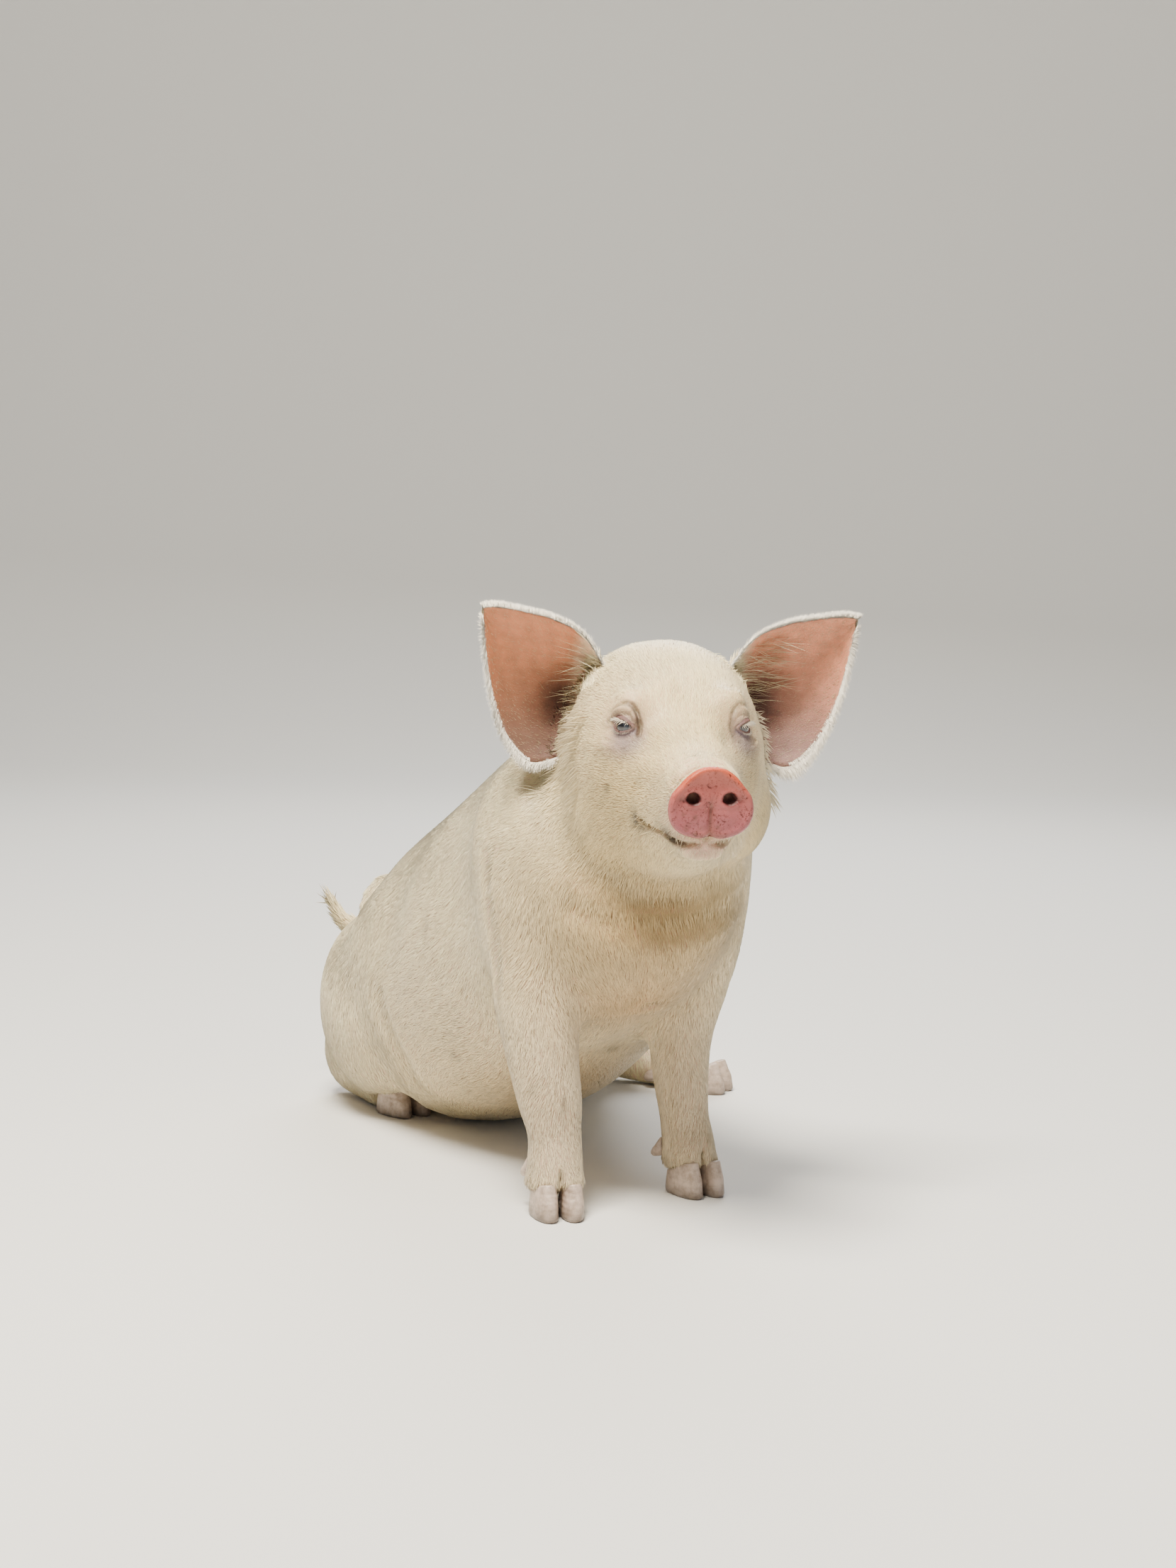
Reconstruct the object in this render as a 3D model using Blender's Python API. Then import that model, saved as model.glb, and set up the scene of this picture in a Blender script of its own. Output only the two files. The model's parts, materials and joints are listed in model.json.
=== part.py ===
# A young large white pig, life size, sitting like a dog. The forelegs prop the chest, the rump and belly
# rest on the floor, the left hind foot points out to the side and the right one is tucked under the
# haunch. Metres, +Z up. The pig faces -Y and its left side is at +X. The floor is z = 0.

import math

import bmesh
import bpy
from mathutils import Matrix, Vector

for old in list(bpy.data.objects):
    bpy.data.objects.remove(old)

# Driving sizes. Places are measured from the ground point midway between the two fore feet, and the
# whole model is moved at the end so that its bounding box stands over the origin.
GAP = 0.0003
RING_SIDES = 24
FLESH_VOXEL = 0.0055
FLESH_SMOOTHING = 4
FLESH_TRIANGLES = 5200

# The head has a frame of its own: origin in the middle of the skull, snout towards -Y.
HEAD_AT = Vector((0.018, -0.024, 0.374))
HEAD_TURN = math.radians(-9)
HEAD_PLACE = Matrix.Translation(HEAD_AT) @ Matrix.Rotation(HEAD_TURN, 4, "Z")
EYE_AT = Vector((0.0405, -0.0600, 0.0185))
EYE_RADIUS = 0.0108
EYE_OUTWARD = math.radians(58)
LID_THICKNESS = 0.0022
SNOUT_AT = Vector((0.0, -0.170, -0.0265))
SNOUT_TILT = math.radians(6)
SNOUT_HALF_WIDTH = 0.0312
SNOUT_HALF_HEIGHT = 0.0272
SNOUT_DEPTH = 0.0150
NOSTRIL_AT = Vector((0.0134, -0.004, 0.0030))
NOSTRIL_SIZE = Vector((0.0046, 0.0110, 0.0043))
MOUTH_AT = Vector((0.0, -0.150, -0.0570))
MOUTH_RISE = math.radians(9)
EAR_THICKNESS = 0.0026
EAR_RIM_THICKNESS = 0.0014

CLAW_HEIGHT = 0.0250
CLAW_HALF_WIDTH = 0.0098
CLAW_FRONT = 0.0280
CLAW_HEEL = 0.0180
CORONET_SLOPE = 0.25
CLEFT = 0.0036

FORE_RIGHT = Matrix.Translation((-0.061, -0.018, 0)) @ Matrix.Rotation(math.radians(-6), 4, "Z")
FORE_LEFT = Matrix.Translation((0.071, 0.026, 0)) @ Matrix.Rotation(math.radians(8), 4, "Z")
HIND_LEFT = Matrix.Translation((0.216, 0.384, 0)) @ Matrix.Rotation(math.radians(46), 4, "Z")
HIND_RIGHT = Matrix.Translation((-0.082, 0.356, 0)) @ Matrix.Rotation(math.radians(16), 4, "Z")

COAT_CREAM = (0.86, 0.78, 0.66, 1)
SKIN_PINK = (0.80, 0.50, 0.42, 1)
HORN = (0.62, 0.50, 0.42, 1)
EYE_DARK = (0.05, 0.035, 0.03, 1)


# Helpers. Each of the first few makes one closed mesh object.
def link(name, mesh):
    made = bpy.data.objects.new(name, mesh)
    bpy.context.scene.collection.objects.link(made)
    return made


def new_object(name, verts, faces):
    mesh = bpy.data.meshes.new(name)
    mesh.from_pydata([tuple(v) for v in verts], [], faces)
    bm = bmesh.new()
    bm.from_mesh(mesh)
    bmesh.ops.recalc_face_normals(bm, faces=bm.faces)
    if bm.calc_volume(signed=True) < 0:
        bmesh.ops.reverse_faces(bm, faces=bm.faces)
    bm.to_mesh(mesh)
    bm.free()
    return link(name, mesh)


def curve_through(rows, steps):
    """Rows of numbers along a smooth curve that passes through every given row."""
    dense = []
    last = len(rows) - 1
    for i in range(last):
        a, b, c, d = rows[max(i - 1, 0)], rows[i], rows[i + 1], rows[min(i + 2, last)]
        for s in range(steps):
            t = s / steps
            row = []
            for p, q, r, u in zip(a, b, c, d):
                bend = 2 * p - 5 * q + 4 * r - u
                twist = 3 * q - p - 3 * r + u
                row.append(q + 0.5 * ((r - p) * t + bend * t**2 + twist * t**3))
            dense.append(row)
    dense.append(list(rows[last]))
    return dense


def skin_rings(name, rings):
    """A closed tube through rings of points, its ends closed by fans."""
    sides = len(rings[0])
    verts = [p for ring in rings for p in ring]
    faces = []
    for i in range(len(rings) - 1):
        for j in range(sides):
            k = (j + 1) % sides
            faces.append((i * sides + j, i * sides + k, (i + 1) * sides + k, (i + 1) * sides + j))
    first = len(verts)
    verts.append(sum(rings[0], Vector()) / sides)
    verts.append(sum(rings[-1], Vector()) / sides)
    top = (len(rings) - 1) * sides
    for j in range(sides):
        k = (j + 1) % sides
        faces.append((first, k, j))
        faces.append((first + 1, top + j, top + k))
    return new_object(name, verts, faces)


def squared(t, power):
    c, s = math.cos(t), math.sin(t)
    return math.copysign(abs(c) ** power, c), math.copysign(abs(s) ** power, s)


def body_loft(name, stations, power=1.0, place=None, steps=3):
    """Each station is (x, top y, top z, under y, under z, half width)."""
    rings = []
    for x, ty, tz, uy, uz, half in curve_through(stations, steps):
        centre = Vector((x, (ty + uy) / 2, (tz + uz) / 2))
        up = Vector((0, (ty - uy) / 2, (tz - uz) / 2))
        ring = []
        for j in range(RING_SIDES):
            c, s = squared(math.tau * j / RING_SIDES, power)
            ring.append(centre + Vector((half * c, 0, 0)) + up * s)
        rings.append([place @ p for p in ring] if place else ring)
    return skin_rings(name, rings)


def limb_loft(name, stations, side, steps=3, sides=RING_SIDES):
    """Each station is (x, y, z, half width, half depth). The width runs along `side`."""
    rows = curve_through(stations, steps)
    centres = [Vector(row[:3]) for row in rows]
    rings = []
    for i, row in enumerate(rows):
        along = (centres[min(i + 1, len(rows) - 1)] - centres[max(i - 1, 0)]).normalized()
        across = (side - along * side.dot(along)).normalized()
        deep = along.cross(across)
        ring = []
        for j in range(sides):
            t = math.tau * j / sides
            ring.append(centres[i] + across * (row[3] * math.cos(t)) + deep * (row[4] * math.sin(t)))
        rings.append(ring)
    return skin_rings(name, rings)


def ball(name, centre, radii, turn=None, place=None, sides=24, rows=14):
    matrix = Matrix.Translation(centre) @ (turn or Matrix.Identity(4)) @ Matrix.Diagonal((*radii, 1))
    if place:
        matrix = place @ matrix
    bm = bmesh.new()
    bmesh.ops.create_uvsphere(bm, u_segments=sides, v_segments=rows, radius=1.0)
    bmesh.ops.transform(bm, matrix=matrix, verts=bm.verts)
    bmesh.ops.recalc_face_normals(bm, faces=bm.faces)
    mesh = bpy.data.meshes.new(name)
    bm.to_mesh(mesh)
    bm.free()
    return link(name, mesh)


def box(low, high, place=None, grow=0.0):
    """A box between two corners, pushed out on every side by `grow`."""
    low = [v - grow for v in low]
    high = [v + grow for v in high]
    xs, ys, zs = zip(low, high)
    verts = [Vector((x, y, z)) for x in xs for y in ys for z in zs]
    faces = [(0, 1, 3, 2), (4, 6, 7, 5), (0, 4, 5, 1), (2, 3, 7, 6), (0, 2, 6, 4), (1, 5, 7, 3)]
    return new_object("cutter", [place @ v for v in verts] if place else verts, faces)


def reshape(block, move):
    """Moves every corner of a cutter, and turns its faces outward again if that mirrored it."""
    bm = bmesh.new()
    bm.from_mesh(block.data)
    for v in bm.verts:
        v.co = move(v.co.copy())
    if bm.calc_volume(signed=True) < 0:
        bmesh.ops.reverse_faces(bm, faces=bm.faces)
    bm.to_mesh(block.data)
    bm.free()
    return block


def beyond(point, normal, grow=0.0):
    """A large block filling the side of a plane that `normal` points to."""
    turn = Vector(normal).to_track_quat("Z", "Y").to_matrix().to_4x4()
    return box((-0.8, -0.8, 0), (0.8, 0.8, 1.2), Matrix.Translation(point) @ turn, grow)


def bake_modifiers(target):
    depsgraph = bpy.context.evaluated_depsgraph_get()
    mesh = bpy.data.meshes.new_from_object(target.evaluated_get(depsgraph))
    target.modifiers.clear()
    target.data = mesh


def boolean(target, tool, operation):
    step = target.modifiers.new("step", "BOOLEAN")
    step.object = tool
    step.operation = operation
    step.solver = "EXACT"
    bake_modifiers(target)
    bpy.data.objects.remove(tool)


def fuse(target, tools):
    """One union of the target with all the tools."""
    pile = bpy.data.collections.new("pile")
    bpy.context.scene.collection.children.link(pile)
    for tool in tools:
        bpy.context.scene.collection.objects.unlink(tool)
        pile.objects.link(tool)
    step = target.modifiers.new("step", "BOOLEAN")
    step.operation = "UNION"
    step.operand_type = "COLLECTION"
    step.collection = pile
    step.solver = "EXACT"
    bake_modifiers(target)
    for tool in tools:
        bpy.data.objects.remove(tool)
    bpy.data.collections.remove(pile)


def keep_largest(target):
    """Drops every loose scrap, and leaves the one closed surface that holds the most."""
    bm = bmesh.new()
    bm.from_mesh(target.data)
    left = set(bm.faces)
    shells = []
    while left:
        shell = {left.pop()}
        front = list(shell)
        while front:
            face = front.pop()
            for edge in face.edges:
                for other in edge.link_faces:
                    if other in left:
                        left.remove(other)
                        shell.add(other)
                        front.append(other)
        shells.append(shell)
    shells.sort(key=len)
    scraps = [face for shell in shells[:-1] for face in shell]
    bmesh.ops.delete(bm, geom=scraps, context="FACES")
    bm.to_mesh(target.data)
    bm.free()


def carve(source, region, name):
    """Takes the part of `source` inside the region out into a node, with a gap between the two."""
    piece = link(name, source.data.copy())
    boolean(piece, region(0.0), "INTERSECT")
    boolean(source, region(GAP), "DIFFERENCE")
    keep_largest(piece)
    return piece


def swollen(source, amount):
    """A copy of a node with every vertex pushed out along its normal."""
    copy = link("cutter", source.data.copy())
    bm = bmesh.new()
    bm.from_mesh(copy.data)
    bm.normal_update()
    moved = [(v, v.co + v.normal * amount) for v in bm.verts]
    for v, co in moved:
        v.co = co
    bm.to_mesh(copy.data)
    bm.free()
    return copy


# The flesh is first one body: trunk, skull, legs and muscles, fused by a fine voxel grid.
# Trunk from neck to rump: x, top y, top z, under y, under z, half width.
TRUNK = [
    (0.014, 0.050, 0.430, -0.030, 0.310, 0.064),
    (0.008, 0.080, 0.400, -0.058, 0.235, 0.090),
    (0.002, 0.130, 0.368, -0.032, 0.176, 0.102),
    (0.000, 0.200, 0.332, 0.060, 0.120, 0.112),
    (-0.002, 0.270, 0.297, 0.145, 0.067, 0.124),
    (-0.005, 0.335, 0.262, 0.240, 0.021, 0.132),
    (-0.010, 0.395, 0.222, 0.325, -0.004, 0.128),
    (-0.016, 0.440, 0.178, 0.400, -0.004, 0.110),
    (-0.020, 0.472, 0.125, 0.450, 0.016, 0.076),
]
# Skull and muzzle in the head's frame, from the snout back into the neck.
HEAD = [
    (0.0, -0.176, 0.000, -0.172, -0.050, 0.0285),
    (0.0, -0.158, 0.001, -0.155, -0.053, 0.0292),
    (0.0, -0.140, 0.004, -0.140, -0.064, 0.0315),
    (0.0, -0.112, 0.010, -0.112, -0.079, 0.0385),
    (0.0, -0.085, 0.021, -0.085, -0.090, 0.0490),
    (0.0, -0.058, 0.043, -0.058, -0.097, 0.0620),
    (0.0, -0.030, 0.064, -0.030, -0.103, 0.0730),
    (0.0, 0.000, 0.075, 0.000, -0.105, 0.0780),
    (0.0, 0.030, 0.076, 0.030, -0.100, 0.0770),
    (0.0, 0.060, 0.064, 0.060, -0.086, 0.0700),
    (0.0, 0.085, 0.040, 0.085, -0.060, 0.0550),
]
# Legs: x, y, z, half width, half depth.
FORELEG_RIGHT = [
    (-0.070, 0.035, 0.270, 0.030, 0.055),
    (-0.068, 0.030, 0.215, 0.032, 0.046),
    (-0.067, 0.018, 0.165, 0.0315, 0.037),
    (-0.066, 0.007, 0.120, 0.0290, 0.030),
    (-0.062, -0.001, 0.085, 0.0255, 0.026),
    (-0.060, -0.007, 0.060, 0.0228, 0.022),
    (-0.061, -0.012, 0.035, 0.0230, 0.0235),
    (-0.061, -0.018, 0.000, 0.0225, 0.0235),
]
FORELEG_LEFT = [
    (0.078, 0.045, 0.270, 0.030, 0.055),
    (0.075, 0.045, 0.215, 0.031, 0.046),
    (0.067, 0.044, 0.165, 0.0285, 0.037),
    (0.061, 0.040, 0.120, 0.0240, 0.030),
    (0.062, 0.036, 0.085, 0.0215, 0.026),
    (0.065, 0.034, 0.060, 0.0212, 0.022),
    (0.069, 0.032, 0.035, 0.0220, 0.0235),
    (0.071, 0.026, 0.000, 0.0215, 0.0235),
]
HINDLEG_LEFT = [
    (0.088, 0.340, 0.085, 0.034, 0.040),
    (0.112, 0.405, 0.062, 0.032, 0.034),
    (0.138, 0.446, 0.034, 0.0240, 0.0290),
    (0.158, 0.438, 0.026, 0.0215, 0.0250),
    (0.184, 0.416, 0.020, 0.0205, 0.0205),
    (0.202, 0.398, 0.017, 0.0215, 0.0190),
    (0.216, 0.384, 0.012, 0.0215, 0.0170),
]
HINDLEG_RIGHT = [
    (-0.085, 0.340, 0.085, 0.034, 0.040),
    (-0.108, 0.400, 0.060, 0.030, 0.034),
    (-0.106, 0.450, 0.034, 0.0240, 0.0290),
    (-0.103, 0.432, 0.026, 0.0215, 0.0250),
    (-0.095, 0.404, 0.020, 0.0205, 0.0205),
    (-0.088, 0.378, 0.017, 0.0215, 0.0190),
    (-0.082, 0.356, 0.012, 0.0215, 0.0170),
]
ACROSS = Vector((1, 0, 0))
LEFT_FOOT_SIDE = Vector((0.70, 0.72, 0))
flesh = body_loft("flesh", TRUNK, power=0.92)
masses = [
    body_loft("skull", HEAD, power=0.92, place=HEAD_PLACE),
    limb_loft("foreleg", FORELEG_RIGHT, ACROSS),
    limb_loft("foreleg", FORELEG_LEFT, ACROSS),
    limb_loft("shank", HINDLEG_LEFT[:3], ACROSS),
    limb_loft("foot", HINDLEG_LEFT[2:], LEFT_FOOT_SIDE),
    limb_loft("shank", HINDLEG_RIGHT[:3], ACROSS),
    limb_loft("foot", HINDLEG_RIGHT[2:], ACROSS),
    ball("shoulder", (-0.070, 0.048, 0.255), (0.039, 0.066, 0.100)),
    ball("shoulder", (0.076, 0.054, 0.255), (0.039, 0.066, 0.100)),
    ball("haunch", (-0.098, 0.372, 0.096), (0.052, 0.096, 0.082)),
    ball("haunch", (0.090, 0.385, 0.096), (0.050, 0.096, 0.082)),
    ball("jowl", (-0.041, -0.006, -0.048), (0.036, 0.056, 0.048), place=HEAD_PLACE),
    ball("jowl", (0.045, -0.006, -0.048), (0.037, 0.056, 0.048), place=HEAD_PLACE),
    ball("brow", (-0.034, -0.050, 0.034), (0.020, 0.020, 0.012), place=HEAD_PLACE),
    ball("brow", (0.034, -0.050, 0.034), (0.020, 0.020, 0.012), place=HEAD_PLACE),
    ball("lower lip", (0.0, -0.139, -0.0660), (0.0215, 0.0170, 0.0090), place=HEAD_PLACE),
]
fuse(flesh, masses)
keep_largest(flesh)
grid = flesh.modifiers.new("grid", "REMESH")
grid.mode = "VOXEL"
grid.voxel_size = FLESH_VOXEL
soften = flesh.modifiers.new("soften", "SMOOTH")
soften.factor = 0.5
soften.iterations = FLESH_SMOOTHING
bake_modifiers(flesh)
thin = flesh.modifiers.new("thin", "DECIMATE")
thin.ratio = FLESH_TRIANGLES / (2 * len(flesh.data.polygons))
bake_modifiers(flesh)

# The floor cuts flats under the belly, the haunches and the hind feet.
boolean(flesh, box((-0.6, -0.6, -0.3), (0.6, 0.9, 0.0)), "DIFFERENCE")
keep_largest(flesh)


# Feet: the cleft between the digits, and the slanted coronet above which the flesh begins.
def coronet_height(y):
    return CLAW_HEIGHT - CORONET_SLOPE * (y + CLAW_FRONT / 2)


def coronet_block(place, grow):
    """All that lies below the slanted coronet of one foot, over the claws only."""
    def slant(p):
        if p.z > -0.01:
            p.z = coronet_height(p.y) + grow
        return place @ p

    return reshape(box((-0.032, -0.045, -0.05), (0.032, CLAW_HEEL + 0.002, 0.0), None, grow), slant)


def cleft_wedge(place):
    """A narrow wedge between the two digits, open to the front and the floor."""
    half, top = CLEFT / 2, 0.043
    rows = [(-0.05, top), (-0.05, -0.01), (0.006, -0.01), (-0.002, top)]
    verts = [place @ Vector((s * half, y, z)) for s in (-1, 1) for y, z in rows]
    faces = [(0, 1, 2, 3), (7, 6, 5, 4), (0, 4, 5, 1), (1, 5, 6, 2), (2, 6, 7, 3), (3, 7, 4, 0)]
    return new_object("cutter", verts, faces)


def claw(name, place, side):
    """One main claw: a flat sole, a rounded tip in front and a slanted top."""
    rings = []
    for share, spread, pull in ((0.0, 0.93, 0.0), (0.10, 1.0, 0.0), (0.55, 0.97, 0.05), (1.0, 0.90, 0.20)):
        ring = []
        for j in range(16):
            c, s = squared(math.tau * j / 16, 0.85)
            reach = CLAW_FRONT if s < 0 else CLAW_HEEL
            x = side * (CLAW_HALF_WIDTH + CLEFT / 2) + CLAW_HALF_WIDTH * spread * c
            x -= side * 0.0020 * max(-s, 0)
            y = reach * spread * s + pull * CLAW_FRONT * max(-s, 0)
            ring.append(place @ Vector((x, y, share * (coronet_height(y) - GAP))))
        rings.append(ring)
    return skin_rings(name, rings)


def dewclaw(name, place, side, back, height, drop):
    """A small blunt claw behind and above the main ones."""
    root = Vector((side * 0.0110, back, height))
    tip = Vector((side * 0.0200, back + 0.020, height - drop))
    rows = []
    for k, (share, size) in enumerate(((0.0, 0.0065), (0.4, 0.0072), (0.75, 0.0062), (1.0, 0.0032))):
        at = root.lerp(tip, share)
        rows.append((*at, size, size * 0.8))
    made = limb_loft(name, rows, ACROSS, steps=1, sides=10)
    made.data.transform(place)
    return made


nodes = {}
feet = {
    "fore_right": (FORE_RIGHT, -1),
    "fore_left": (FORE_LEFT, 1),
    "hind_right": (HIND_RIGHT, -1),
    "hind_left": (HIND_LEFT, 1),
}
for place, outer in feet.values():
    boolean(flesh, cleft_wedge(place), "DIFFERENCE")
    boolean(flesh, coronet_block(place, 0.0), "DIFFERENCE")
keep_largest(flesh)


# The flesh is parted into nodes, from the snout back. Each cut leaves the same thin gap.
def snout_block(grow):
    place = HEAD_PLACE @ Matrix.Translation(SNOUT_AT) @ Matrix.Rotation(SNOUT_TILT, 4, "X")
    return box((-0.1, -0.1, -0.1), (0.1, SNOUT_DEPTH, 0.1), place, grow)


def jaw_block(grow):
    place = HEAD_PLACE @ Matrix.Translation(MOUTH_AT) @ Matrix.Rotation(MOUTH_RISE, 4, "X")
    return box((-0.1, -0.08, -0.09), (0.1, 0.115, 0.0), place, grow)


def head_block(grow):
    """All in front of a plane that slants from the nape down to the throat."""

    def slant(p):
        if p.y > -0.1:
            p.y = 0.038 + 0.30 * p.z + grow
        return HEAD_PLACE @ p

    return reshape(box((-0.2, -0.3, -0.112), (0.2, 0.0, 0.2), None, grow), slant)


def neck_block(grow):
    return beyond((0.0, 0.100, 0.380), (0.0, -0.135, 0.155), grow)


def chest_block(grow):
    return beyond((0.0, 0.190, 0.340), (0.0, -0.210, 0.115), grow)


def rump_block(grow):
    return beyond((0.0, 0.345, 0.250), (0.0, 0.225, -0.060), grow)


def foreleg_block(place, outer, top):
    """The upper face slants from the armpit up to the outside of the shoulder."""

    def block(grow):
        def slant(p):
            if p.z > -0.005:
                p.z = top + 0.55 * p.x + grow
            return place @ Vector((outer * p.x, p.y, p.z))

        return reshape(box((-0.040, -0.07, -0.02), (0.050, 0.085, 0.0), None, grow), slant)

    return block


def plain_block(low, high, place=None):
    return lambda grow: box(low, high, place, grow)


def haunch_ball(centre):
    return lambda grow: ball("cutter", centre, [r + grow for r in (0.075, 0.104, 0.100)])


upright_right = Matrix.Translation((FORE_RIGHT.translation.x, 0.0, 0.0))
upright_left = Matrix.Translation((FORE_LEFT.translation.x - 0.004, 0.022, 0.0))
head_flesh = carve(flesh, head_block, "head")
boolean(head_flesh, snout_block(GAP), "DIFFERENCE")
nodes["lower_jaw"] = carve(head_flesh, jaw_block, "lower_jaw")
nodes["head"] = head_flesh
keep_largest(head_flesh)
nodes["neck"] = carve(flesh, neck_block, "neck")
for word, place, outer in (("right", upright_right, -1), ("left", upright_left, 1)):
    leg = carve(flesh, foreleg_block(place, outer, 0.172), f"foreleg_upper_{word}")
    wrist = plain_block((-0.05, -0.08, -0.01), (0.06, 0.10, 0.080), place)
    nodes[f"foreleg_lower_{word}"] = carve(leg, wrist, f"foreleg_lower_{word}")
    nodes[f"foreleg_upper_{word}"] = leg
    keep_largest(leg)
for word, place, outer in (("right", HIND_RIGHT, -1), ("left", HIND_LEFT, 1)):
    foot = plain_block((-0.036, -0.06, -0.01), (0.036, 0.056, 0.036 if word == "right" else 0.052), place)
    nodes[f"hindfoot_{word}"] = carve(flesh, foot, f"hindfoot_{word}")
hock_right = plain_block((-0.17, 0.405, -0.01), (-0.070, 0.52, 0.058))
hock_left = plain_block((0.100, 0.405, -0.01), (0.200, 0.52, 0.058))
nodes["hock_right"] = carve(flesh, hock_right, "hock_right")
nodes["hock_left"] = carve(flesh, hock_left, "hock_left")
nodes["thigh_right"] = carve(flesh, haunch_ball((-0.106, 0.370, 0.094)), "thigh_right")
nodes["thigh_left"] = carve(flesh, haunch_ball((0.098, 0.384, 0.094)), "thigh_left")
nodes["chest"] = carve(flesh, chest_block, "chest")
nodes["rump"] = carve(flesh, rump_block, "rump")
keep_largest(flesh)
flesh.name = "belly"
nodes["belly"] = flesh


# Eyes and lids. The lids are two caps over the eyeball, fused to the head before its socket is cut.
def eye_place(side):
    at = Vector((side * EYE_AT.x, EYE_AT.y, EYE_AT.z))
    return HEAD_PLACE @ Matrix.Translation(at) @ Matrix.Rotation(side * EYE_OUTWARD, 4, "Z")


def lid_opening(place):
    """A wedge with its edge across the middle of the eyeball, open to the front."""
    reach, upper, lower = 0.03, math.tan(math.radians(20)), math.tan(math.radians(24))
    rows = [(0.0005, 0.0), (-reach, reach * upper), (-reach, -reach * lower)]
    verts = [place @ Vector((x, y, z)) for x in (-0.03, 0.03) for y, z in rows]
    faces = [(0, 1, 2), (5, 4, 3), (0, 3, 4, 1), (1, 4, 5, 2), (2, 5, 3, 0)]
    return new_object("cutter", verts, faces)


for side, word in ((-1, "right"), (1, "left")):
    place = eye_place(side)
    lids = ball("lids", (0, 0, 0), (EYE_RADIUS + LID_THICKNESS,) * 3, place=place, sides=16, rows=12)
    boolean(lids, lid_opening(place), "DIFFERENCE")
    boolean(nodes["head"], lids, "UNION")
    socket = ball("cutter", (0, 0, 0), (EYE_RADIUS + GAP,) * 3, place=place, sides=16, rows=12)
    boolean(nodes["head"], socket, "DIFFERENCE")
    name = f"eye_{word}"
    nodes[name] = ball(name, (0, 0, 0), (EYE_RADIUS,) * 3, place=place, sides=16, rows=12)
keep_largest(nodes["head"])


# The snout: a rounded disc, a little narrower at the top, with two nostrils.
def snout_ring(depth, spread):
    ring = []
    for j in range(32):
        c, s = squared(math.tau * j / 32, 0.92)
        narrow = 1 - 0.10 * max(s, -0.2)
        ring.append(Vector((SNOUT_HALF_WIDTH * spread * narrow * c, depth, SNOUT_HALF_HEIGHT * spread * s)))
    return ring


snout_rows = [
    (SNOUT_DEPTH, 0.93),
    (SNOUT_DEPTH - 0.005, 0.95),
    (SNOUT_DEPTH - 0.009, 1.0),
    (SNOUT_DEPTH - 0.0125, 0.995),
    (SNOUT_DEPTH - 0.0150, 0.94),
    (SNOUT_DEPTH - 0.0162, 0.84),
    (SNOUT_DEPTH - 0.0168, 0.55),
]
snout_place = HEAD_PLACE @ Matrix.Translation(SNOUT_AT) @ Matrix.Rotation(SNOUT_TILT, 4, "X")
snout = skin_rings("snout", [[snout_place @ p for p in snout_ring(*row)] for row in snout_rows])
for side in (-1, 1):
    at = Vector((side * NOSTRIL_AT.x, NOSTRIL_AT.y, NOSTRIL_AT.z))
    lean = Matrix.Rotation(side * math.radians(20), 4, "Y")
    boolean(snout, ball("cutter", at, NOSTRIL_SIZE, lean, snout_place, 14, 10), "DIFFERENCE")
keep_largest(snout)
nodes["snout"] = snout

# Ears, in the head's frame for the left one: front edge, rear edge and the middle of the cup.
EAR_FRONT = [
    (0.045, 0.012, 0.050),
    (0.066, 0.006, 0.080),
    (0.090, 0.006, 0.0925),
    (0.112, 0.005, 0.0975),
    (0.134, 0.002, 0.1010),
    (0.1475, 0.0, 0.1000),
]
EAR_REAR = [
    (0.055, 0.024, -0.004),
    (0.080, 0.021, -0.0155),
    (0.104, 0.016, -0.0195),
    (0.124, 0.012, 0.0010),
    (0.1385, 0.007, 0.0400),
    (0.1475, 0.001, 0.0930),
]
EAR_MIDDLE = [
    (0.045, 0.040, 0.020),
    (0.070, 0.042, 0.030),
    (0.096, 0.036, 0.036),
    (0.118, 0.027, 0.050),
    (0.137, 0.013, 0.074),
    (0.1478, 0.0010, 0.0965),
]


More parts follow.
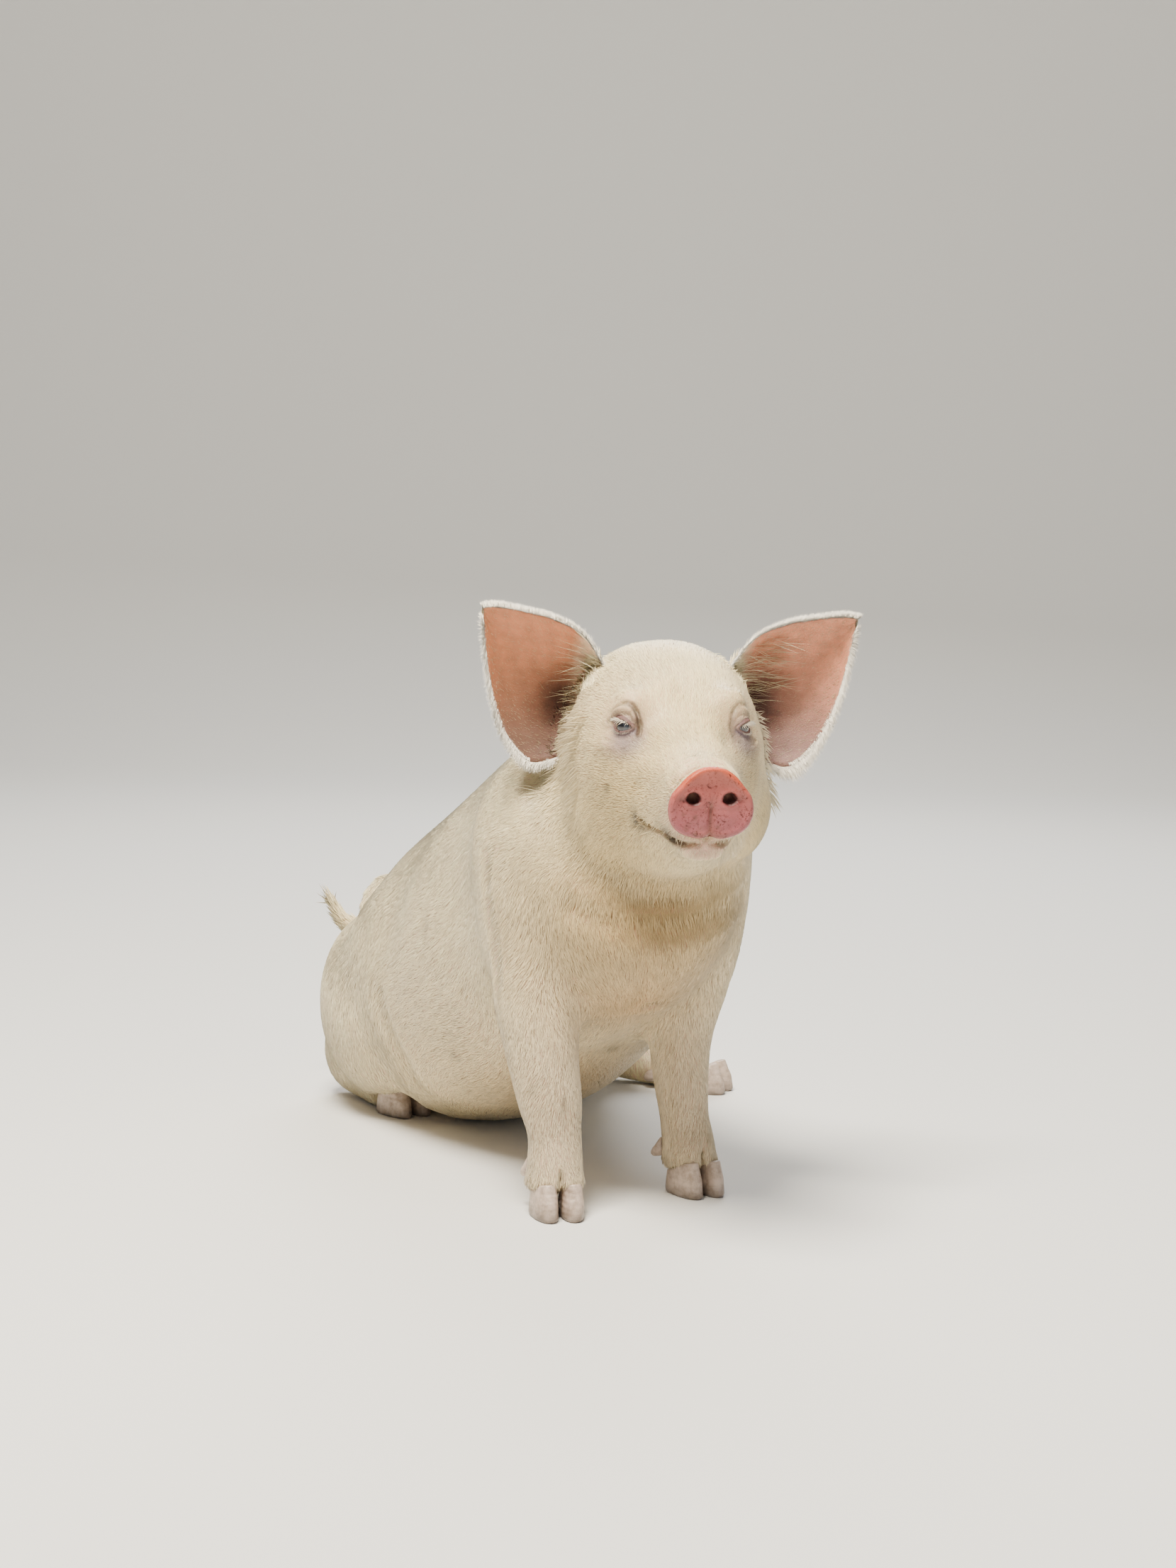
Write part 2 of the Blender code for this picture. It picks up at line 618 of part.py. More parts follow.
def ear(name, side, lift):
    """A cupped shell. Each row across it is an arc through its front edge, middle and rear edge."""
    across, steps = 12, 2
    lines = [curve_through(rows, steps) for rows in (EAR_FRONT, EAR_MIDDLE, EAR_REAR)]
    rows = []
    for front, middle, rear in zip(*lines):
        f, m, r = Vector(front), Vector(middle), Vector(rear)
        bend = 2 * m - (f + r) / 2
        row = []
        for k in range(across + 1):
            t = k / across
            row.append(f * (1 - t) ** 2 + bend * 2 * t * (1 - t) + r * t**2)
        rows.append(row)
    count = across + 1
    inner, outer = [], []
    for i, row in enumerate(rows):
        for k, p in enumerate(row):
            along = rows[min(i + 1, len(rows) - 1)][k] - rows[max(i - 1, 0)][k]
            over = row[min(k + 1, across)] - row[max(k - 1, 0)]
            normal = along.cross(over).normalized()
            rim = max(abs(2 * k / across - 1), i / (len(rows) - 1)) ** 6
            half = (EAR_THICKNESS + (EAR_RIM_THICKNESS - EAR_THICKNESS) * rim) / 2
            inner.append(p + normal * half)
            outer.append(p - normal * half)
    hinge = Matrix.Translation((0.05, 0, 0.02))
    swing = hinge @ Matrix.Rotation(-lift, 4, "Y") @ hinge.inverted()
    flip = Matrix.Diagonal((side, 1, 1, 1))
    verts = [HEAD_PLACE @ flip @ swing @ p for p in inner + outer]
    total = len(inner)
    faces = []
    for i in range(len(rows) - 1):
        for k in range(across):
            a, b = i * count + k, i * count + k + 1
            c, d = b + count, a + count
            for x, y, z in ((a, b, c), (a, c, d)):
                faces.append((x, y, z))
                faces.append((total + z, total + y, total + x))
    rim = [k for k in range(count)]
    rim += [i * count + across for i in range(1, len(rows))]
    rim += [(len(rows) - 1) * count + k for k in range(across - 1, -1, -1)]
    rim += [i * count for i in range(len(rows) - 2, 0, -1)]
    for j, a in enumerate(rim):
        b = rim[(j + 1) % len(rim)]
        faces.append((b, a, total + a))
        faces.append((b, total + a, total + b))
    return new_object(name, verts, faces)


nodes["ear_right"] = ear("ear_right", -1, math.radians(1.5))
nodes["ear_left"] = ear("ear_left", 1, math.radians(-1.5))
for word in ("right", "left"):
    for host in ("head", "neck"):
        boolean(nodes[f"ear_{word}"], swollen(nodes[host], GAP), "DIFFERENCE")
    keep_largest(nodes[f"ear_{word}"])

# The tail: from behind the rump it curls to the right and ends in a pointed tuft.
TAIL = [
    (-0.018, 0.452, 0.140, 0.0120, 0.0120),
    (-0.022, 0.484, 0.160, 0.0110, 0.0110),
    (-0.040, 0.500, 0.182, 0.0100, 0.0100),
    (-0.064, 0.502, 0.183, 0.0092, 0.0092),
    (-0.080, 0.492, 0.166, 0.0085, 0.0085),
    (-0.082, 0.484, 0.148, 0.0078, 0.0078),
    (-0.092, 0.482, 0.143, 0.0085, 0.0070),
    (-0.106, 0.486, 0.156, 0.0085, 0.0055),
    (-0.118, 0.490, 0.176, 0.0022, 0.0018),
]
nodes["tail"] = limb_loft("tail", TAIL, Vector((0, 1, 0.2)), steps=2, sides=12)
boolean(nodes["tail"], swollen(nodes["rump"], GAP), "DIFFERENCE")
keep_largest(nodes["tail"])

# Hooves: two claws and two dewclaws on each foot. The tucked foot's dewclaws are lost in the haunch.
for foot, (place, outer) in feet.items():
    end, word = foot.split("_")
    limb = nodes[f"foreleg_lower_{word}" if end == "fore" else f"hindfoot_{word}"]
    back, height, drop = (0.014, 0.040, 0.014) if end == "fore" else (0.030, 0.015, 0.006)
    for side in (-1, 1):
        word = "outer" if side == outer else "inner"
        nodes[f"hoof_{foot}_{word}"] = claw(f"hoof_{foot}_{word}", place, side)
        if foot == "hind_right":
            continue
        spur = dewclaw(f"dewclaw_{foot}_{word}", place, side, back, height, drop)
        boolean(spur, swollen(limb, GAP), "DIFFERENCE")
        boolean(spur, box((-0.6, -0.6, -0.3), (0.6, 0.9, 0.0)), "DIFFERENCE")
        keep_largest(spur)
        nodes[f"dewclaw_{foot}_{word}"] = spur


# Finish: one material per node, smooth shading, and the whole model over the origin.
def colour_of(name):
    if name.startswith(("hoof", "dewclaw")):
        return HORN
    if name.startswith("eye"):
        return EYE_DARK
    if name.startswith(("snout", "ear")):
        return SKIN_PINK
    return COAT_CREAM


corners = [v.co for node in nodes.values() for v in node.data.vertices]
low = Vector([min(c[k] for c in corners) for k in range(3)])
high = Vector([max(c[k] for c in corners) for k in range(3)])
SHIFT = Vector((-(low.x + high.x) / 2, -(low.y + high.y) / 2, 0.0))
for name, node in nodes.items():
    node.name = name
    node.data.transform(Matrix.Translation(SHIFT))
    material = bpy.data.materials.new(f"{name}_finish")
    material.use_nodes = True
    shader = material.node_tree.nodes["Principled BSDF"]
    shader.inputs["Base Color"].default_value = colour_of(name)
    shader.inputs["Roughness"].default_value = 0.25 if name.startswith("eye") else 0.65
    node.data.materials.clear()
    node.data.materials.append(material)
    for face in node.data.polygons:
        face.use_smooth = True
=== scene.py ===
import json
import math

import bmesh
import bpy
import numpy as np
from mathutils import Matrix, Vector
from mathutils.bvhtree import BVHTree
from mathutils.kdtree import KDTree

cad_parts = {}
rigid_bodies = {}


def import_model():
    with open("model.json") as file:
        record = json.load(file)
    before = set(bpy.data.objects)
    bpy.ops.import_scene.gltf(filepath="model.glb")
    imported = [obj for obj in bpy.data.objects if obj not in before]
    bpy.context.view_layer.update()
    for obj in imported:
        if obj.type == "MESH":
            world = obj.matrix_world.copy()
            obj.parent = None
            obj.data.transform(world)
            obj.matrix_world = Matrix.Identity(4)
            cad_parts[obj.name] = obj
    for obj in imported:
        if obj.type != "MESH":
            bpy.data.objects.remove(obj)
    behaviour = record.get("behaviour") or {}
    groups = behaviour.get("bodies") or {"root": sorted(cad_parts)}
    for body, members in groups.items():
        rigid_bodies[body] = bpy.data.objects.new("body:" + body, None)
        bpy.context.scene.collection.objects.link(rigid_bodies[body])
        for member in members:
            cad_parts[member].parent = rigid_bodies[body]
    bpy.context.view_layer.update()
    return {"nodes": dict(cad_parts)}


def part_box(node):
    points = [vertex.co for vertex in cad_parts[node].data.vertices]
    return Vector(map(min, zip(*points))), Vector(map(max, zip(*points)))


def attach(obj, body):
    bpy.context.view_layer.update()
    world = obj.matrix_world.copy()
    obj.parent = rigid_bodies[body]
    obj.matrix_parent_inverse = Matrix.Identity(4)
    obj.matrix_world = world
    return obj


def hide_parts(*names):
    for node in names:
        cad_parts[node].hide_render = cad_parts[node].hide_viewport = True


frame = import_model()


# The pig's bearings. Places on the body are measured from the floor midway between the fore feet,
# and those on the head in the frame of the skull, which is found from the two eyeballs. The snout
# points to -Y and the animal's left is +X. Sizes are in metres.
def middle_of(node):
    low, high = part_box(node)
    return (low + high) / 2


def turned(degrees, axis="Z"):
    return Matrix.Rotation(math.radians(degrees), 4, axis)


RIGHT, LEFT = -1, 1
SIDES = {RIGHT: "right", LEFT: "left"}
EYES_FROM_SKULL = Vector((0.0, -0.0600, 0.0185))
EYE_FROM_MIDDLE = 0.0405
EYE_RADIUS = 0.0108
EYE_OUTWARD = 58
between_eyes = (middle_of("eye_right") + middle_of("eye_left")) / 2
SKULL = Matrix.Translation(between_eyes - turned(-9) @ EYES_FROM_SKULL) @ turned(-9)
GROUND = SKULL.translation - Vector((0.018, -0.024, 0.374))
SNOUT = SKULL @ Matrix.Translation((0.0, -0.170, -0.0265)) @ turned(6, "X")


# The hide over trunk, legs, tail and skull: one soft skin over fat and muscle. It is drawn over
# the flesh solids, fused into one even grid, eased until no edge of a solid shows, and pulled in
# by the depth of the coat.
FLESH = [
    "head", "lower_jaw", "neck", "chest", "belly", "rump", "tail", "eye_right", "eye_left",
    "foreleg_upper_right", "foreleg_upper_left", "foreleg_lower_right", "foreleg_lower_left",
    "thigh_right", "thigh_left", "hock_right", "hock_left", "hindfoot_right", "hindfoot_left",
]
FLESH_OVERLAP = 0.0005
HIDE_GRID = 0.0049
HIDE_EASING = (26, 0.6, 0.93)
COAT_DEPTH = 0.0010


def mesh_from(name, bm):
    mesh = bpy.data.meshes.new(name)
    bm.to_mesh(mesh)
    bm.free()
    return mesh


def put_in_scene(name, data):
    made = bpy.data.objects.new(name, data)
    bpy.context.scene.collection.objects.link(made)
    return made


def piece_from(name, bm):
    return put_in_scene(name, mesh_from(name, bm))


def solid_copy(node, name, swell=0.0):
    """A merged copy of a solid's mesh. A small swell makes neighbours overlap."""
    bm = bmesh.new()
    bm.from_mesh(frame["nodes"][node].data)
    bmesh.ops.remove_doubles(bm, verts=bm.verts, dist=1e-6)
    bm.normal_update()
    for v in bm.verts:
        v.co += v.normal * swell
    return mesh_from(name, bm)


def settle_modifiers(piece):
    """Puts the piece's modifiers into its mesh."""
    depsgraph = bpy.context.evaluated_depsgraph_get()
    mesh = bpy.data.meshes.new_from_object(piece.evaluated_get(depsgraph))
    old = piece.data
    piece.modifiers.clear()
    piece.data = mesh
    bpy.data.meshes.remove(old)


def put_on_grid(piece, spacing):
    """Gives the piece one closed skin of even squares."""
    grid = piece.modifiers.new("grid", "REMESH")
    grid.mode = "VOXEL"
    grid.voxel_size = spacing
    settle_modifiers(piece)


def read(items, key, wide, kind=np.float32):
    flat = np.empty(len(items) * wide, kind)
    items.foreach_get(key, flat)
    return flat.reshape(-1, wide)


def coordinates(mesh):
    return read(mesh.vertices, "co", 3).astype(float)


def vertex_normals(mesh):
    return read(mesh.vertices, "normal", 3).astype(float)


def edge_pairs(mesh):
    return read(mesh.edges, "vertices", 2, np.int32)


def set_coordinates(mesh, points):
    mesh.vertices.foreach_set("co", points.astype(np.float32).ravel())
    mesh.update()


def eased(points, pairs, rounds, share, swell=0.0):
    """Each point drawn towards the middle of its neighbours, and pushed back by `swell`."""
    count = len(points)
    a, b = pairs[:, 0], pairs[:, 1]
    degree = np.bincount(a, minlength=count) + np.bincount(b, minlength=count)
    degree = np.maximum(degree, 1)[:, None]
    share = np.broadcast_to(np.asarray(share, float), (count,))[:, None]
    for _ in range(rounds):
        for step in (share, -swell * share) if swell else (share,):
            mean = np.empty_like(points)
            for k in range(3):
                sums = np.bincount(a, weights=points[b, k], minlength=count)
                sums += np.bincount(b, weights=points[a, k], minlength=count)
                mean[:, k] = sums
            points = points + step * (mean / degree - points)
    return points


body = bmesh.new()
for node in FLESH:
    grown = solid_copy(node, node + "_swelled", FLESH_OVERLAP)
    body.from_mesh(grown)
    bpy.data.meshes.remove(grown)
hide = piece_from("hide", body)
put_on_grid(hide, HIDE_GRID)
trunk_points = eased(coordinates(hide.data), edge_pairs(hide.data), *HIDE_EASING)
set_coordinates(hide.data, trunk_points)
set_coordinates(hide.data, trunk_points - vertex_normals(hide.data) * COAT_DEPTH)


# The ears: thin gristle between two layers of skin, cupped forward and outward. Each grows out of
# the side of the skull, so its root is carried on into the head before the two are fused.
EAR_FRONT = [
    (0.034, 0.01, 0.034), (0.045, 0.012, 0.05), (0.066, 0.006, 0.08), (0.09, 0.006, 0.0925),
    (0.112, 0.005, 0.0975), (0.134, 0.002, 0.101), (0.1475, 0, 0.1),
]
EAR_MIDDLE = [
    (0.034, 0.034, 0.012), (0.045, 0.04, 0.02), (0.07, 0.042, 0.03), (0.096, 0.036, 0.036),
    (0.118, 0.027, 0.05), (0.137, 0.013, 0.074), (0.1478, 0.001, 0.0965),
]
EAR_REAR = [
    (0.036, 0.022, -0.002), (0.055, 0.024, -0.004), (0.08, 0.021, -0.0155),
    (0.104, 0.016, -0.0195), (0.124, 0.012, 0.001), (0.1385, 0.007, 0.04),
    (0.1475, 0.001, 0.093),
]
EAR_ALONG, EAR_ACROSS = 38, 30
EAR_THICK, EAR_RIM = 0.0025, 0.0013
RIDGE_DEPTH, RIPPLE_DEPTH, VEIN_DEPTH = 0.0034, 0.0007, 0.00035
EAR_HINGE = (0.05, 0, 0.02)
EAR_LIFT = 1.5


def along_curve(rows, t):
    """The point at share t of a smooth curve through all the rows."""
    last = len(rows) - 1
    i = min(int(t * last), last - 1)
    u = t * last - i
    a, b = Vector(rows[max(i - 1, 0)]), Vector(rows[i])
    c, d = Vector(rows[i + 1]), Vector(rows[min(i + 2, last)])
    bend, twist = 2 * a - 5 * b + 4 * c - d, 3 * b - a - 3 * c + d
    return b + 0.5 * ((c - a) * u + bend * u**2 + twist * u**3)


def ear_point(along, across):
    """A place on the left ear, by its share from root to tip and from front edge to rear."""
    front, rear = along_curve(EAR_FRONT, along), along_curve(EAR_REAR, along)
    deep = along_curve(EAR_MIDDLE, along)
    bend = 2 * deep - (front + rear) / 2
    point = front * (1 - across) ** 2 + bend * 2 * across * (1 - across) + rear * across**2
    # Low ridges of gristle run from the root towards the tip and fade out half way.
    fade = max(0.0, 1 - along / 0.85) * min(1.0, along / 0.15)
    wave = abs(math.sin(across * math.pi * 3.4 + 0.5 + 0.5 * along))
    ridges = (1 - wave) ** 1.5 * -RIDGE_DEPTH * fade
    ripple = math.sin(along * 23 + across * 5) * RIPPLE_DEPTH * abs(2 * across - 1) ** 2
    veins = math.sin(along * 31 - across * 17 + 1.2) * math.sin(across * 29) * VEIN_DEPTH
    return point + Vector((0.0, ridges + ripple + veins, 0.0))


def ear_place(side):
    """The ears are drawn on the left and mirrored; the right one is carried a little higher."""
    hinge = Matrix.Translation(EAR_HINGE)
    lift = turned(side * EAR_LIFT, "Y")
    return SKULL @ Matrix.Diagonal((side, 1, 1, 1)) @ hinge @ lift @ hinge.inverted()


def make_ear(name, side):
    bm = bmesh.new()
    bmesh.ops.create_grid(bm, x_segments=EAR_ALONG, y_segments=EAR_ACROSS, size=0.5)
    place = ear_place(side)
    thickness = []
    for v in bm.verts:
        along, across = v.co.x + 0.5, v.co.y + 0.5
        rim = max(abs(2 * across - 1), along) ** 5
        thickness.append(1 + (EAR_RIM / EAR_THICK - 1) * rim)
        v.co = place @ ear_point(along, across)
    bmesh.ops.recalc_face_normals(bm, faces=bm.faces)
    ear = piece_from(name, bm)
    group = ear.vertex_groups.new(name="thickness")
    for index, share in enumerate(thickness):
        group.add([index], share, "REPLACE")
    shell = ear.modifiers.new("two layers", "SOLIDIFY")
    shell.thickness = EAR_THICK
    shell.offset = 0.0
    shell.vertex_group = "thickness"
    settle_modifiers(ear)
    bm = bmesh.new()
    bm.from_mesh(ear.data)
    bmesh.ops.triangulate(bm, faces=bm.faces)
    if bm.calc_volume(signed=True) < 0:
        bmesh.ops.reverse_faces(bm, faces=bm.faces)
    bm.to_mesh(ear.data)
    bm.free()
    return ear


ears = [make_ear(f"ear_{word}_skin", side) for side, word in SIDES.items()]


# The snout: a bare, damp disc of tough skin over gristle, with a raised rim, two nostrils that
# slant outward and a shallow groove between them down to the lip.
SNOUT_HALF_WIDTH, SNOUT_HALF_HEIGHT = 0.0312, 0.0272
# The disc is a low shield and not an oval: how its width goes with height, from foot to top.
SNOUT_FLARE = (
    (-1.0, -0.8, -0.5, 0.0, 0.2, 0.47, 0.8, 1.0),
    (1.18, 1.16, 1.08, 1.0, 0.96, 0.83, 0.74, 0.72),
)
# How deep the snout's side and face lie, and how far out, from the neck of the disc to its middle.
SNOUT_PROFILE = [
    (0.026, 0), (0.025, 0.5), (0.021, 0.8), (0.014, 0.885), (0.0085, 0.925), (0.005, 0.98),
    (0.0025, 1.003), (0.0003, 0.992), (-0.0012, 0.96), (-0.0018, 0.915), (-0.0016, 0.86),
    (-0.0008, 0.78), (0, 0.6), (0.0003, 0.3), (0.0003, 0),
]
NOSTRIL_X, NOSTRIL_Z = 0.0134, 0.0030
NOSTRIL_WIDE, NOSTRIL_TALL, NOSTRIL_DEEP = 0.0050, 0.0044, 0.0100
NOSTRIL_SLANT = 24
NOSTRIL_RIM, NOTCH_DEEP, GROOVE_DEEP, PAD_HIGH, DIP_DEEP = 0.0009, 0.0018, 0.0024, 0.0013, 0.0011
PORE_DEEP, LIP_DROP = 0.00022, 0.0024
ROUNDNESS = 0.92


def bell(*offsets):
    """1 where all the offsets are nought, and fading out about one away."""
    return math.exp(-sum(offset**2 for offset in offsets))


def snout_offset(x, z):
    """How far back the face of the disc lies at a place on it."""
    back = 0.0
    for side in SIDES:
        dx, dz = x - side * NOSTRIL_X, z - NOSTRIL_Z
        lean = -math.radians(NOSTRIL_SLANT) * side
        u = dx * math.cos(lean) - dz * math.sin(lean)
        w = dx * math.sin(lean) + dz * math.cos(lean)
        r = math.hypot(u / NOSTRIL_WIDE, w / NOSTRIL_TALL)
        back += NOSTRIL_DEEP * max(0.0, 1 - r**3) ** 0.8 if r < 1 else 0.0
        back -= NOSTRIL_RIM * bell((r - 1.35) / 0.35)
        # The nostril runs out into a shallow notch towards the edge of the disc.
        back += NOTCH_DEEP * bell((dx - side * 0.0060) / 0.0040, (dz + 0.0010) / 0.0022)
    if z < -0.001:
        back += GROOVE_DEEP * bell(x / 0.0019) * min(1.0, (-0.001 - z) / 0.004)
    # Two pads below the nostrils, and a dip above them.
    back -= PAD_HIGH * bell((abs(x) - 0.0115) / 0.0075, (z + 0.0115) / 0.0075)
    back += DIP_DEEP * bell(x / 0.0110, (z - 0.0125) / 0.0060)
    back += PORE_DEEP * math.sin(x * 1900 + z * 700) * math.sin(z * 1600 - x * 400)
    return back


bm = bmesh.new()
bmesh.ops.create_grid(bm, x_segments=96, y_segments=64, size=0.5)
for v in bm.verts:
    turn, run = (v.co.x + 0.5) * math.tau, (v.co.y + 0.5) ** 0.8
    depth, spread, _ = along_curve([(d, s, 0.0) for d, s in SNOUT_PROFILE], min(run, 0.99999))
    c, s = (math.copysign(abs(w) ** ROUNDNESS, w) for w in (math.cos(turn), math.sin(turn)))
    x = SNOUT_HALF_WIDTH * spread * float(np.interp(s, *SNOUT_FLARE)) * c
    z = SNOUT_HALF_HEIGHT * spread * s
    z += LIP_DROP * bell(x / 0.0050) * max(0.0, -s) ** 6
    front = depth < 0.0015 and run > 0.5
    v.co = SNOUT @ Vector((x, depth + (snout_offset(x, z) if front else 0.0), z))
bmesh.ops.remove_doubles(bm, verts=bm.verts, dist=2e-5)
bmesh.ops.recalc_face_normals(bm, faces=bm.faces)
snout = piece_from("snout_skin", bm)


def fuse_with(piece, tool, operation="UNION"):
    """Joins a closed piece to the hide where the two cross, or cuts it out."""
    union = piece.modifiers.new("union", "BOOLEAN")
    union.operation = operation
    union.object = tool
    union.solver = "EXACT"
    settle_modifiers(piece)
    bpy.data.objects.remove(tool)


ear_shapes = []
for ear in ears:
    ear.data.calc_loop_triangles()
    corners = [tuple(t.vertices) for t in ear.data.loop_triangles]
    ear_shapes.append(BVHTree.FromPolygons([v.co.copy() for v in ear.data.vertices], corners))
for part in ears + [snout]:
    fuse_with(hide, part)

# The ear canals: a real hollow at the root of each cup, between gristle and skull.
CANAL = Vector((0.0700, 0.0285, 0.0245))
CANAL_REACH = (0.0120, 0.0098, 0.0125)
for side in SIDES:
    bm = bmesh.new()
    place = SKULL @ Matrix.Translation((side * CANAL.x, CANAL.y, CANAL.z))
    place = place @ turned(side * 24) @ Matrix.Diagonal((*CANAL_REACH, 1))
    bmesh.ops.create_uvsphere(bm, u_segments=28, v_segments=18, radius=1.0, matrix=place)
    fuse_with(hide, piece_from("ear_canal", bm), "DIFFERENCE")


# The face, feet and folds of the hide. The grid is made finer where the animal has detail, then
# lids, lips, wrinkles, folds and the clefts between the toes are pressed into it.
EYE_REACH, LID_REACH = 0.026, 0.0165
FEET = {
    name: Matrix.Translation(GROUND + Vector((x, y, 0))) @ turned(turn)
    for name, x, y, turn in (
        ("fore_right", -0.061, -0.018, -6), ("fore_left", 0.071, 0.026, 8),
        ("hind_right", -0.082, 0.356, 16), ("hind_left", 0.216, 0.384, 46))}


def in_frame(place, points):
    """Points given in the frame of a place, from points in the world."""
    inverse = np.array(place.inverted())
    return points @ inverse[:3, :3].T + inverse[:3, 3]


def to_world(place, points):
    matrix = np.array(place)
    return points @ matrix[:3, :3].T + matrix[:3, 3]


def length_of(vectors):
    return np.linalg.norm(vectors, axis=1)


def smooth_step(low, high, value):
    t = np.clip((value - low) / (high - low), 0.0, 1.0)
    return t * t * (3 - 2 * t)


def between(low, value, high):
    return (value > low) & (value < high)


def eye_frame(side):
    at = Vector((side * EYE_FROM_MIDDLE, EYES_FROM_SKULL.y, EYES_FROM_SKULL.z))
    return SKULL @ Matrix.Translation(at) @ turned(side * EYE_OUTWARD)


EYES = {side: eye_frame(side) for side in SIDES}


def made_finer(piece, wanted):
    """Cuts each edge in two where both its ends are wanted."""
    chosen = wanted(coordinates(piece.data))
    bm = bmesh.new()
    bm.from_mesh(piece.data)
    edges = [e for e in bm.edges if chosen[e.verts[0].index] and chosen[e.verts[1].index]]
    bmesh.ops.subdivide_edges(bm, edges=edges, cuts=1, use_grid_fill=True, smooth=0.6)
    bmesh.ops.triangulate(bm, faces=[f for f in bm.faces if len(f.verts) > 4])
    bm.to_mesh(piece.data)
    bm.free()


def ear_share(points):
    """How much a point belongs to an ear and not to the skull: 0 to 1."""
    h = in_frame(SKULL, points)
    share = smooth_step(0.062, 0.074, np.abs(h[:, 0]))
    share *= (h[:, 2] > -0.03) & between(-0.02, h[:, 1], 0.06)
    for index in np.flatnonzero(share > 0):
        at = ear_shapes[int(h[index, 0] > 0)].find_nearest(points[index], 0.0022)[0]
        if at is None:
            share[index] = 0.0
    return share


def on_disc(points, deep):
    s = in_frame(SNOUT, points)
    return (s[:, 1] < deep) & (np.hypot(s[:, 0] / 0.033, s[:, 2] / 0.029) < 1.1)


def on_skull(points):
    h = in_frame(SKULL, points)
    near = (h[:, 1] < 0.055) & (h[:, 2] > -0.118) & (length_of(h) < 0.21)
    return near & (ear_share(points) < 0.5) & ~on_disc(points, 0.012)


def near_eyes(points, reach):
    return np.any([length_of(in_frame(place, points)) < reach for place in EYES.values()], 0)


def near_face_detail(points):
    h = in_frame(SKULL, points)
    lips = (h[:, 1] < -0.095) & between(-0.085, h[:, 2], -0.030)
    muzzle_top = (h[:, 1] < -0.125) & (h[:, 2] > -0.030)
    return (near_eyes(points, EYE_REACH) | lips | muzzle_top) & ~on_disc(points, 0.010)


def near_toes(points):
    found = np.zeros(len(points), bool)
    for place in FEET.values():
        f = in_frame(place, points)
        found |= (np.abs(f[:, 0]) < 0.032) & (np.abs(f[:, 1]) < 0.040) & (f[:, 2] < 0.062)
    return found


made_finer(hide, lambda p: on_skull(p) | near_toes(p))
made_finer(hide, near_face_detail)
made_finer(hide, lambda p: near_eyes(p, LID_REACH))
points = coordinates(hide.data)
pairs = edge_pairs(hide.data)
h = in_frame(SKULL, points)
seam = np.exp(-((np.abs(h[:, 0]) - 0.062) / 0.008) ** 2) * (h[:, 1] > -0.01)
points = eased(points, pairs, 10, 0.55 * np.clip(seam, 0, 1))
set_coordinates(hide.data, points)

# Soft swellings and hollows of the head: place, reach along each axis, and how far the skin moves
# out. Both sides get each.
SKULL_SWELLS = [
    ((0.047, -0.06, 0.044), (0.016, 0.016, 0.007), 0.003),
    ((0.055, -0.056, 0.001), (0.014, 0.02, 0.0075), 0.0026),
    ((0.031, -0.088, 0.01), (0.0085, 0.02, 0.0095), -0.003),
    ((0, -0.064, 0.056), (0.01, 0.02, 0.02), -0.0036),
    ((0.022, -0.062, 0.056), (0.014, 0.02, 0.016), 0.0016),
    ((0.04, -0.105, -0.022), (0.012, 0.02, 0.009), -0.0018),
    ((0.029, -0.125, -0.042), (0.012, 0.02, 0.01), 0.0018),
    ((0.024, -0.143, -0.047), (0.01, 0.012, 0.006), 0.0014),
    ((0.06, 0.03, 0.03), (0.012, 0.02, 0.016), -0.002),
]
# The same for the trunk: shoulder blades, the dip behind each elbow, the flank, the thigh and the
# crease down the middle of the chest.
BODY_SWELLS = [
    ((0.1, 0.07, 0.3), (0.03, 0.04, 0.055), 0.004),
    ((0.112, 0.105, 0.215), (0.04, 0.03, 0.06), -0.004),
    ((0.1, 0.03, 0.165), (0.03, 0.03, 0.035), 0.0035),
    ((0.125, 0.245, 0.2), (0.04, 0.03, 0.05), -0.005),
    ((0.13, 0.32, 0.15), (0.045, 0.045, 0.06), 0.0045),
    ((0, -0.045, 0.175), (0.008, 0.04, 0.045), -0.003),
    ((0.066, -0.012, 0.092), (0.03, 0.02, 0.018), 0.0022),
    ((0.066, 0.01, 0.06), (0.03, 0.03, 0.014), -0.0018),
]
